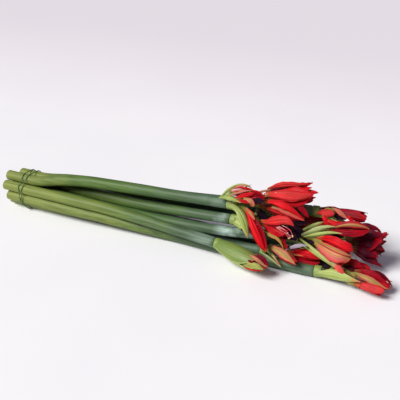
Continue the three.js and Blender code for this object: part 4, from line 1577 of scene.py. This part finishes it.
        def shape(share: float, angle: float) -> float:
            """The ovary's three ribs."""
            rib = self.rib * smoothstep(share, 1.0 - ovary / length, 1.0 - 0.6 * ovary / length)
            return 1.0 + rib * math.cos(3.0 * (angle - turn)) - rib * 0.4

        shaper.tube(rings, self.stalk_columns, {Mark.SHADE: draw.random() * 0.6, Mark.RIPE: 1.0}, shape)

    def build(self, workshop: Workshop) -> bpy.types.Object:
        """Makes the stem with the stalks of all its flowers.

        Args:
            workshop: what finishes it.

        Returns:
            The piece.
        """
        draw = random.Random(f"stem {self.name}")
        shaper = Shaper()
        self._scape(shaper, draw)
        for key, bloom in BLOOMS.items():
            if key.startswith(self.name):
                self._stalk(shaper, bloom, draw)
        return workshop.place(shaper, f"stem_{self.name}", Slot.STEM)


@dataclass(frozen=True)
class Petal:
    """One petal's middle surface on its flower's axis."""

    bloom: BloomPlan
    angles: tuple[float, float]
    length: float
    half: float
    inset: float
    wave: float
    phase: float
    turn: float
    hook: float
    keel: float
    root: float
    claw: float = 0.6
    claw_radius: float = 3.1
    claw_ends: float = 0.25
    tip_radius: float = 2.4
    tip: float = 0.25
    widest: float = 1.15
    lap: float = 0.5
    inset_at_tip: float = 0.6
    slimmest: float = 0.5
    frills: float = 0.3
    point_from: float = 0.75

    def outline(self, u: float) -> float:
        """Half its width there, as a share of its widest: broad past the middle, then drawn to a point.

        Args:
            u: from 0 at the root to 1 at the tip.

        Returns:
            The share.
        """
        if u <= self.point_from:
            return max(math.sin(math.pi * max(u, 0.0) ** 1.15), 0.0) ** 0.75
        shoulder = math.sin(math.pi * self.point_from**1.15) ** 0.75
        return shoulder * ((1.0 - u) / (1.0 - self.point_from)) ** 0.8

    def surface(self, u: float, v: float) -> Vector:
        """The point at u from root to tip and v from edge to edge.

        Args:
            u: from 0 at the root to 1 at the tip.
            v: from -1 to 1 across.

        Returns:
            The point.
        """
        first, last = (math.radians(a) for a in self.angles)
        angle = first + (last - first) * u
        swell = (math.cos(first) - math.cos(angle)) / (last - first)
        reach = (math.sin(angle) - math.sin(first)) / (last - first)
        parted = smoothstep(u, 0.0, self.claw_ends)
        wide = self.claw_radius + self.bloom.full * self.bloom.core * self.length * swell
        wide -= (1.0 - self.inset_at_tip) * self.inset * parted
        radius = max(max(wide, self.tip_radius) - self.inset_at_tip * self.inset, self.slimmest)
        half = self.half * self.outline(u) + self.tip + self.claw * (1.0 - u)
        spread = min(half / radius, self.widest)
        ripple = math.sin(2.0 * math.pi * (1.3 * u + self.phase) + 2.0 * v) * self.wave * u * v * v
        frill = math.sin(2.0 * math.pi * (3.7 * u + 2.3 * self.phase) - 3.0 * v)
        frill = frill * self.frills * self.wave * u * abs(v) ** 3
        keel = self.keel * (1.0 - smoothstep(abs(v), 0.0, 0.22)) * (1.0 - u * u)
        hook = self.hook * smoothstep(u, 0.8, 1.0) ** 2
        away = radius + self.lap * parted * v + ripple + frill + keel + hook
        return self.bloom.station(self.root + self.length * reach).round(away, self.turn + v * spread)


@dataclass
class Bloom:
    """A flower: its short tube and its petals in layers, with smaller ones inside a double flower."""

    name: str
    plan: BloomPlan
    tube_radius: float = 3.0
    tube_mouth: float = 4.8
    tube_length: float = 8.0
    tube_rings: int = 6
    tube_columns: int = 18
    petals: int = 3
    thickness: float = 0.5
    rows: int = 28
    columns: int = 14
    set_rows: int = 30
    set_columns: int = 16
    root: float = 6.8
    uneven: float = 1.5
    askew: float = 4.0
    hooks: Span = (-0.3, 0.9)
    keels: Span = (0.45, 0.2)

    def _tube(self, shaper: Shaper) -> None:
        """Adds the tube that the petals stand on.

        Args:
            shaper: the flower's mesh.
        """
        profile = [(0.0, 0.0)]
        for k in range(self.tube_rings + 1):
            share = k / self.tube_rings
            profile.append((lerp(self.tube_radius, self.tube_mouth, share**1.3), share * self.tube_length))
        profile.append((0.0, self.tube_length))
        rings = [(self.plan.station(s), r, 0.05 * s / self.tube_length) for r, s in profile]
        marks = {Mark.SHADE: 0.5, Mark.GREEN: self.plan.green, Mark.DARK: self.plan.dark}
        shaper.tube(rings, self.tube_columns, marks, lambda share, turn: 1.0 + 0.05 * math.cos(3.0 * turn))

    def _petal(self, layer: int, k: int, draw: random.Random) -> Petal:
        """Settles one petal.

        Args:
            layer: its layer, counted from the outside.
            k: its number in the layer.
            draw: where its small differences come from.

        Returns:
            The petal.
        """
        habit = self.plan.opening.value
        share = min(layer / max(habit.layers - 1, 1), 1.0)
        extra = max(layer - habit.layers + 1, 0)
        angles = tuple(
            lerp(o, i, share) + draw.uniform(-self.uneven, self.uneven) - 3.0 * extra
            for o, i in zip(habit.outer, habit.inner)
        )
        full = (self.plan.full * self.plan.core) ** 0.4
        turn = self.plan.turn + 120.0 * k + 60.0 * layer
        turn += draw.uniform(-self.askew, self.askew) * (layer > 0)
        return Petal(
            bloom=self.plan,
            angles=angles,
            length=(self.plan.length - self.root) * (1.0 - 0.05 * layer - 0.03 * k - 0.05 * extra),
            half=habit.width * self.plan.length * full * (1.0 - 0.12 * extra),
            inset=habit.step * min(layer, habit.layers - 1) + 0.5 * extra,
            wave=habit.wave * (1.0 + 0.3 * extra),
            phase=0.37 * k + 0.21 * layer + self.plan.turn / 90.0,
            turn=math.radians(turn),
            hook=draw.uniform(*self.hooks) if habit.wave else 0.0,
            keel=self.keels[layer > 0],
            root=self.root,
        )

    def build(self, workshop: Workshop) -> bpy.types.Object:
        """Makes the flower.

        Args:
            workshop: what finishes it.

        Returns:
            The piece.
        """
        draw = random.Random(f"bloom {self.name}")
        habit = self.plan.opening.value
        shaper = Shaper()
        self._tube(shaper)
        for layer in range(habit.layers + habit.fillers):
            for k in range(self.petals):
                petal = self._petal(layer, k, draw)
                marks = {
                    Mark.SHADE: draw.random(),
                    Mark.GREEN: self.plan.green * (1.0 if layer == 0 else 0.35) * draw.uniform(0.85, 1.15),
                    # inner layers are a little darker: painted shade inside the flower
                    Mark.DARK: min(self.plan.dark + 0.12 * layer * draw.random(), 1.0),
                }
                shaper.sheet(petal.surface, self.rows, self.columns, self.thickness, marks)
        for blade in PETALS.get(self.name, ()):
            shaper.sheet(blade.surface(), self.set_rows, self.set_columns, self.thickness, blade.tone.marks())
        return workshop.place(shaper, f"bloom_{self.name}", Slot.PETAL)


@dataclass(frozen=True)
class ValvePlan:
    """A spathe valve: the side that it grows from in degrees, half width, and where it bends and ends."""

    start: float
    half: float
    bend: Point
    tip: Point
    lead: float = 14.4


VALVES = {
    "a": (
        ValvePlan(195, 10, (422, -14, 79), (438, -14, 46)),
        ValvePlan(60, 4, (408, 26, 103), (427, 19, 110)),
    ),
    "b": (ValvePlan(100, 8, (458, 57, 64), (488, 62, 62)), ValvePlan(230, 7, (462, 53, 38), (488, 56, 34))),
    "c": (ValvePlan(110, 6, (428, 20, 66), (442, 21, 69)), ValvePlan(240, 6, (426, 3, 46), (442, -2, 44))),
    "d": (ValvePlan(215, 4, (520, 0, 38), (574, -7, 24)), ValvePlan(330, 6, (520, 46, 38), (548, 52, 44))),
    "e": (),
    "f": (
        ValvePlan(178, 11, (568, -14, 21), (596, -13, 21)),
        ValvePlan(320, 7, (568, 14, 8), (596, 21, 8)),
    ),
    "g": (
        ValvePlan(150, 4, (456, -4, 42), (489, -18, 17), 5.4),
        ValvePlan(60, 4, (480, 22, 34), (512, 8, 36)),
    ),
    "h": (ValvePlan(250, 8, (524, 50, 8), (552, 48, 8)), ValvePlan(110, 7, (522, 48, 30), (544, 44, 33))),
    "i": (ValvePlan(300, 6, (533, 68, 58), (557, 74, 56)), ValvePlan(230, 6, (533, 52, 66), (555, 50, 66))),
}

BRACTS = {
    "a": (
        Blade(((386.4, 2, 89.2), (400.5, -3.7, 96.6), (408.3, -7.8, 98.1), (422.9, -6, 92.9)),
              3, -10, 40, 0.1, Tone.LEAFY),
        Blade(((388.2, 2, 90.3), (394.1, 4.7, 98.6), (409.8, 4.3, 121.2), (428.7, 10, 112.6)),
              1.3, 0, 25, 0.2, Tone.FRESH),
        Blade(((388.5, 3, 91), (396.1, 4.3, 99.7), (401.6, 4.2, 107.6), (410.7, 7, 108.5)),
              2.4, 10, 20, 0.2, Tone.FRESH),
        Blade(((391.3, 2, 91.6), (399.7, 1.5, 97.9), (407.9, 2.5, 101.1), (414.8, 5, 102)),
              2.3, -10, 20, 0.2, Tone.LEAFY),
        Blade(((407.5, -3, 85.6), (427.4, -10.3, 84.4), (434.7, -17.7, 69), (439.8, -16, 48.7)),
              5.6, -10, 35, 0.12, Tone.LEAFY),
    ),
    "c": (
        Blade(((400.9, 10, 52.6), (410, 8, 53.8), (417.5, 6, 53.7), (427.6, 4, 50.4)),
              6.8, 0, 55, 0.6, Tone.FRESH),
    ),
    "d": (
        Blade(((553.4, -6.5, 35.4), (562, -7.8, 31.8), (568.4, -10.5, 31.8), (576.4, -8, 19.2)),
              4.2, 0, 30, 0.1, Tone.FLUSHED),
        Blade(((501.1, 18, 45.5), (521.1, 4.8, 45.6), (536.6, -5.3, 40.7), (558.8, -8, 32.4)),
              2.4, 0, 35, 0.2, Tone.FRESH),
        Blade(((496.7, 22, 48.3), (505.2, 24, 59.3), (521.8, 33.5, 66.2), (528, 37, 68.6)),
              2.2, 0, 40, 0.3, Tone.LEAFY),
        Blade(((500.3, 20, 47.7), (517.7, 15.8, 61.6), (532.3, 19.2, 73.2), (547.9, 21, 73.3)),
              2.8, 0, 35, 0.2, Tone.MILKY),
        Blade(((507.9, 18, 49.9), (522.7, 12.5, 58.6), (540.4, 16, 68.1), (559.4, 15, 68.7)),
              2.2, 0, 35, 0.2, Tone.FRESH),
    ),
    "g": (
        Blade(((488.5, 1, 31.4), (497.3, -4.7, 42), (509.4, -1.3, 48.8), (519, 2, 46)),
              2.6, 0, 20, 0.1, Tone.PAPERY),
        Blade(((459.2, -22, 33.3), (473, -24.7, 33), (478, -21.3, 24.9), (490.8, -21, 17.5)),
              1.3, 0, 30, 0.1, Tone.MILKY),
    ),
}


@dataclass
class Spathe:
    """The sheath of a head: its collar round the neck and its pointed valves, or the closed pod."""

    name: str
    plan: StemPlan
    valves: tuple[ValvePlan, ...]
    neck_length: float = 12.0
    inner: float = 6.5
    outer: float = 8.0
    seat: float = 7.3
    root: float = 5.0
    tip: float = 0.25
    thickness: float = 0.7
    point: float = 2.4
    pod_bend: Point = (431, -24, 20)
    pod_tip: Point = (463, -33, 19)
    pod_belly: float = 19.0
    pod_mouth: float = 9.5
    pod_spread: float = 97.0
    pod_turns: tuple[float, ...] = (100.0, 280.0)
    pod_point: float = 5.0
    pod_lap: float = 0.9
    pod_shade: float = 0.1
    pod_dark: float = 0.7
    collar_columns: int = 32
    valve_faces: tuple[int, int] = (40, 12)
    pod_faces: tuple[int, int] = (44, 36)
    bract_faces: tuple[int, int] = (30, 12)

    def _collar(self, shaper: Shaper, draw: random.Random) -> None:
        """Adds the ring round the neck, with rounded lips.

        Args:
            shaper: the spathe's mesh.
            draw: where its shade comes from.
        """
        near, far = self.plan.end - self.neck_length + 0.6, self.plan.end - 1.6
        inner, outer = self.inner, self.outer
        rings = [(inner, near + 0.5), (inner + 0.4, near), (outer - 0.5, near)]
        rings += [(outer, near + 0.6), (outer + 0.1, lerp(near, far, 0.5)), (outer, far - 0.6)]
        rings += [(outer - 0.6, far), (inner + 0.4, far), (inner, far - 0.5), (inner, near + 0.5)]
        marks = {Mark.SHADE: draw.random()}
        shaper.tube([(self.plan.station(x), r, 0.02) for r, x in rings], self.collar_columns, marks)

    def _foot(self) -> Station:
        """The place on the neck that the valves grow from."""
        return self.plan.station(self.plan.end - 0.7 * self.neck_length)

    def _valve(self, valve: ValvePlan) -> Surface:
        """A valve's middle surface: a pointed blade, bent round its root and guttered along its length.

        Args:
            valve: its plan.

        Returns:
            The surface.
        """
        foot = self._foot()
        out = foot.outward(valve.start)
        root = foot.point + out * self.seat
        line = Bend((root, root + foot.along * valve.lead, Vector(valve.bend), Vector(valve.tip)))

        def surface(u: float, v: float) -> Vector:
            """The valve's point at u and v.

            Args:
                u: from 0 at the root to 1 at the tip.
                v: from -1 to 1 across.

            Returns:
                The point.
            """
            along = line.ahead(u)
            away = (out - along * out.dot(along)).normalized()
            side = along.cross(away)
            gutter = lerp(self.seat, 0.8 * valve.half, u)
            body = lerp(self.root, valve.half, smoothstep(u, 0.15, 0.5))
            half = body * (1.0 - max(u, 0.0) ** self.point) + self.tip
            spread = v * half / gutter
            crease = 0.5 * (1.0 - smoothstep(abs(v), 0.0, 0.3)) * (1.0 - u)
            wave = 0.35 * math.sin(9.0 * u + valve.start) * v * abs(v) * smoothstep(u, 0.2, 0.6)
            shift = away * (gutter * (math.cos(spread) - 1.0) + crease + wave)
            return line.at(u) + shift + side * (gutter * math.sin(spread))

        return surface

    def _pod(self, turn: float) -> Surface:
        """One of the two broad valves that meet round the buds.

        Args:
            turn: the side that its middle faces, in degrees.

        Returns:
            The surface.
        """
        line = Bend((self._foot().point, Vector(self.pod_bend), Vector(self.pod_tip)))

        def surface(u: float, v: float) -> Vector:
            """The pod's point at u and v.

            Args:
                u: from 0 at the root to 1 at the tip.
                v: from -1 to 1 across.

            Returns:
                The point.
            """
            station = Station.facing(line.at(u), line.ahead(u))
            girth = self.seat * (1.0 - u) ** 2 + self.pod_mouth * u * u
            girth += 2.0 * self.pod_belly * u * (1.0 - u)
            lap = self.pod_lap * v * smoothstep(u, 0.0, 0.3)
            ridge = 0.4 * (1.0 - smoothstep(abs(v), 0.0, 0.08)) * (1.0 - u)
            spread = self.pod_spread * (1.0 - max(u, 0.0) ** self.pod_point) + 0.05
            return station.point + station.outward(turn + spread * v) * (girth + lap + ridge)

        return surface

    def build(self, workshop: Workshop) -> bpy.types.Object:
        """Makes the spathe.

        Args:
            workshop: what finishes it.

        Returns:
            The piece.
        """
        draw = random.Random(f"spathe {self.name}")
        shaper = Shaper()
        self._collar(shaper, draw)
        for valve in self.valves:
            marks = {Mark.SHADE: draw.random()}
            shaper.sheet(self._valve(valve), *self.valve_faces, self.thickness, marks)
        if not self.valves:
            for turn in self.pod_turns:
                marks = {Mark.SHADE: self.pod_shade, Mark.DARK: self.pod_dark * (turn < 180.0)}
                shaper.sheet(self._pod(turn), *self.pod_faces, self.thickness, marks)
        for blade in BRACTS.get(self.name, ()):
            shaper.sheet(blade.surface(), *self.bract_faces, self.thickness, blade.tone.marks())
        return workshop.place(shaper, f"spathe_{self.name}", Slot.SPATHE)


THREADS = {
    "c_half": (
        ((475.1, -4, 66.8), (484.7, -9, 65.3), (494.1, -11, 64.9), (500.2, -10, 61.4)),
        ((476.5, -4, 67.9), (485.8, -10.5, 69), (489.7, -8, 71.2), (496.6, -10, 59.4)),
        ((478.6, -4, 68.9), (486.8, -10.5, 71.7), (488, -8, 69.3), (493, -10, 65.2)),
        ((482.7, -4, 71.5), (492.2, -8.7, 73), (497.4, -7.3, 69.5), (499.5, -9, 62.9)),
        ((480.2, -4, 64.7), (487.8, -10.5, 65.4), (491.7, -8, 63.5), (495, -10, 57.5)),
    ),
}


@dataclass
class Stamens:
    """The stamens of an open flower, joined at their feet."""

    bloom: str
    count: int = 5
    foot: float = 8.3
    spread: float = 0.05
    reach: float = 0.78
    filament: float = 0.42
    anther: float = 0.85
    anther_length: float = 3.4
    steps: int = 18
    anther_steps: int = 8
    columns: int = 8
    anther_columns: int = 10
    foot_columns: int = 12
    bow: float = 1.2

    def _line(self, length: float, turn: float) -> list[Station]:
        """The stations of one stamen, a little bowed.

        Args:
            length: its length.
            turn: its side of the flower, in radians.

        Returns:
            The stations.
        """
        plan = BLOOMS[self.bloom]
        stations = []
        for k in range(self.steps + 1):
            s = length * k / self.steps
            place = plan.station(self.foot + 0.6 + s)
            away = 0.5 + self.spread * s + self.bow * math.sin(math.pi * k / self.steps) ** 2
            stations.append(Station.facing(place.round(away, turn), place.along))
        return stations

    def _thread(self, shaper: Shaper, stations: list[Station]) -> None:
        """Adds one filament with its anther across its end.

        Args:
            shaper: the mesh.
            stations: the filament's line.
        """
        last = len(stations) - 1
        rings = [(stations[0], 0.0, 0.0)]
        rings += [(station, self.filament, i / last) for i, station in enumerate(stations)]
        rings.append((stations[-1], 0.0, 1.0))
        shaper.tube(rings, self.columns, {Mark.RIPE: 0.0, Mark.SHADE: 0.5})
        head = stations[-1]
        middle = head.point + head.up * 0.3
        anther = []
        for i in range(self.anther_steps + 1):
            share = i / self.anther_steps
            point = middle + head.up * (self.anther_length * (share - 0.5))
            radius = self.anther * math.sin(math.pi * i / self.anther_steps) ** 0.6
            anther.append((Station.facing(point, head.up + head.along * 0.3), radius, share))
        shaper.tube(anther, self.anther_columns, {Mark.RIPE: 1.0, Mark.SHADE: 0.5})

    def build(self, workshop: Workshop) -> bpy.types.Object:
        """Makes the stamens.

        Args:
            workshop: what finishes them.

        Returns:
            The piece.
        """
        plan = BLOOMS[self.bloom]
        shaper = Shaper()
        foot = [(0.0, 0.0), (0.9, 0.1), (1.0, 0.8), (0.8, 1.4), (0.0, 1.6)]
        rings = [(plan.station(self.foot + s), r, 0.0) for r, s in foot]
        shaper.tube(rings, self.foot_columns, {Mark.RIPE: 0.0, Mark.SHADE: 0.5})
        for k in range(self.count):
            length = plan.length * (self.reach - 0.03 * (k % 3)) - self.foot
            self._thread(shaper, self._line(length, k * 2.0 * math.pi / self.count))
        for points in THREADS.get(self.bloom, ()):
            line = Bend(tuple(Vector(p) for p in points))
            total = line.marks()[-1]
            self._thread(shaper, line.stations([total * k / self.steps for k in range(self.steps + 1)]))
        return workshop.place(shaper, f"stamens_{self.bloom}", Slot.STAMEN)


@dataclass
class Tie:
    """The cord: led twice round the ring of stems, crossing itself at the lower front."""

    place: float = 42.0
    spacing: float = 12.0
    crossing: int = 5
    hump: float = 0.11
    lift: float = 2.3 * CORD_RADIUS
    slim: float = 0.78
    arc_steps: int = 8
    strands: int = 3
    lay: float = 5.5
    columns: int = 12
    crowns: float = 0.09
    sunk: float = 0.05
    green: float = 0.8

    def _route(self) -> list[tuple[Vector, Vector]]:
        """The points of its middle line, each with the way out there.

        Returns:
            The points of both turns, in order.
        """
        route = []
        reach = STEM_RADIUS_TIED + GAP + self.slim * CORD_RADIUS
        for turn in range(2):
            for k in range(RING_STEPS):
                slot = self.crossing + k
                y, z = ring_point(slot)
                for step in range(2 * self.arc_steps + 1):
                    corner = step / self.arc_steps - 1.0
                    angle = RING_FIRST * (1.0 + 2.0 * slot + corner)
                    share = (k + 0.5 + corner / 2.0) / RING_STEPS
                    offset = 0.5 * self.spacing * math.sin(math.pi * (turn + share))
                    near = max(0.0, 1.0 - min(share, 1.0 - share) / self.hump)
                    over = (turn == 0) == (share < 0.5)
                    away = reach + (self.lift * smoothstep(near, 0.0, 1.0) if over else 0.0)
                    out = Vector((0.0, math.cos(angle), math.sin(angle)))
                    route.append((Vector((self.place + offset, y, z)) + out * away, out))
        return route

    def build(self, workshop: Workshop) -> bpy.types.Object:
        """Makes the cord, with its strands laid round each other.

        Args:
            workshop: what finishes it.

        Returns:
            The piece.
        """
        route = self._route()
        count = len(route)
        rings, walked = [], 0.0
        for k in range(count + 1):
            point, out = route[k % count]
            before, after = route[(k - 1) % count][0], route[(k + 1) % count][0]
            along = (after - before).normalized()
            side = along.cross(out).normalized()
            rings.append((Station(point, along, side, side.cross(along)), self.slim * CORD_RADIUS, walked))
            walked += (after - point).length
        turns = round(walked / self.lay)

        def shape(share: float, angle: float) -> float:
            """The strands' crowns and hollows."""
            twist = 2.0 * math.pi * turns * share / walked
            return 1.0 + self.crowns * abs(math.sin(self.strands * (angle - twist) / 2.0)) - self.sunk

        shaper = Shaper()
        shaper.tube(rings, self.columns, {Mark.SHADE: 0.5, Mark.RIPE: self.green}, shape)
        return workshop.place(shaper, "tie", Slot.TIE)


@dataclass
class Studio:
    """The pale floor, the soft light of a window and a room, and the camera."""

    azimuth: float = 27.0
    elevation: float = 26.0
    distance: float = 0.85
    target: Point = (357.0, 0.0, 80.0)
    lens: float = 53.55
    floor_colour: Colour = srgb(245, 245, 247)
    floor_patch: Colour = srgb(241, 241, 244)
    # painted shade: the floor's darker colour towards the back
    floor_far_shade: Colour = srgb(226, 220, 226)
    world_colour: Colour = srgb(232, 224, 246)
    window: float = 4.0
    window_side: Point = (-0.5, -0.82, 0.9)
    softness: float = 26.0
    sunshine: Colour = (1.0, 0.985, 0.96)
    room: float = 0.22
    sensor: float = 36.0
    half_floor: float = 8.0
    floor_rough: float = 0.85
    floor_gloss: float = 0.2
    back_from: Span = (-0.1, 1.6)

    def _view(self) -> Vector:
        """The way from the target to the camera."""
        a, e = math.radians(self.azimuth), math.radians(self.elevation)
        return Vector((math.sin(a) * math.cos(e), -math.cos(a) * math.cos(e), math.sin(e)))

    def _target(self) -> Vector:
        """What the camera looks at, in the part's frame."""
        return (Vector(self.target) - ORIGIN) * MM

    def camera(self) -> None:
        """Puts the camera at the photograph's view."""
        data = bpy.data.cameras.new("camera")
        data.lens = self.lens
        data.sensor_width = self.sensor
        camera = bpy.data.objects.new("camera", data)
        camera.location = self._target() + self._view() * self.distance
        camera.rotation_mode = "QUATERNION"
        camera.rotation_quaternion = (-self._view()).to_track_quat("-Z", "Y")
        bpy.context.scene.collection.objects.link(camera)
        bpy.context.scene.camera = camera

    def floor(self) -> None:
        """Lays the floor."""
        material, graph, shader = new_material("pale floor")
        place = graph.add("TexCoord").outputs["Object"]
        noise = graph.add("TexNoise", {"Vector": place, "Scale": 3.0, "Detail": 3.0})
        split = graph.add("SeparateXYZ", {"Vector": place})
        # painted shade: the floor darkens towards the back, standing in for light that falls off
        back = graph.ramp(split.outputs["Y"], *self.back_from)
        near = graph.mix(graph.ramp(noise.outputs["Fac"], *NOISE_SPAN), self.floor_colour, self.floor_patch)
        graph.feed(shader, {
            "Base Color": graph.mix(back, near, self.floor_far_shade),
            "Roughness": self.floor_rough,
            "Specular IOR Level": self.floor_gloss,
        })
        mesh = bmesh.new()
        bmesh.ops.create_grid(mesh, x_segments=1, y_segments=1, size=self.half_floor)
        data = bpy.data.meshes.new("floor")
        mesh.to_mesh(data)
        mesh.free()
        data.materials.append(material)
        floor = bpy.data.objects.new("floor", data)
        bpy.context.scene.collection.objects.link(floor)

    def lights(self) -> None:
        """Sets the broad window light and the light of the room."""
        data = bpy.data.lights.new("window", "SUN")
        data.angle = math.radians(self.softness)
        data.energy = self.window
        data.color = self.sunshine
        lamp = bpy.data.objects.new("window", data)
        lamp.rotation_mode = "QUATERNION"
        lamp.rotation_quaternion = (-Vector(self.window_side)).to_track_quat("-Z", "Y")
        bpy.context.scene.collection.objects.link(lamp)
        world = bpy.data.worlds.new("room")
        world.use_nodes = True
        Graph(world.node_tree).feed(world.node_tree.nodes["Background"], {0: self.world_colour, 1: self.room})
        bpy.context.scene.world = world
        bpy.context.scene.view_settings.view_transform = "Standard"

    def build(self) -> None:
        """Sets the whole stage."""
        self.camera()
        self.floor()
        self.lights()


@dataclass
class Bunch:
    """The whole tied bunch."""

    workshop: Workshop
    with_stamens: tuple[str, ...] = ("c_half", "h_open")

    def build(self) -> None:
        """Makes every piece in order."""
        for name, plan in STEMS.items():
            Stem(name, plan).build(self.workshop)
            Spathe(name, plan, VALVES[name]).build(self.workshop)
        for name, plan in BLOOMS.items():
            Bloom(name, plan).build(self.workshop)
        for name in self.with_stamens:
            Stamens(name).build(self.workshop)
        Tie().build(self.workshop)


def main() -> None:
    """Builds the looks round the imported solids."""
    logging.basicConfig(level=logging.INFO, format="%(name)s: %(message)s")
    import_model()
    Studio().build()
    Bunch(Workshop()).build()
    bpy.context.view_layer.update()
    LOG.info("all pieces are in place")


if __name__ == "__main__":
    main()
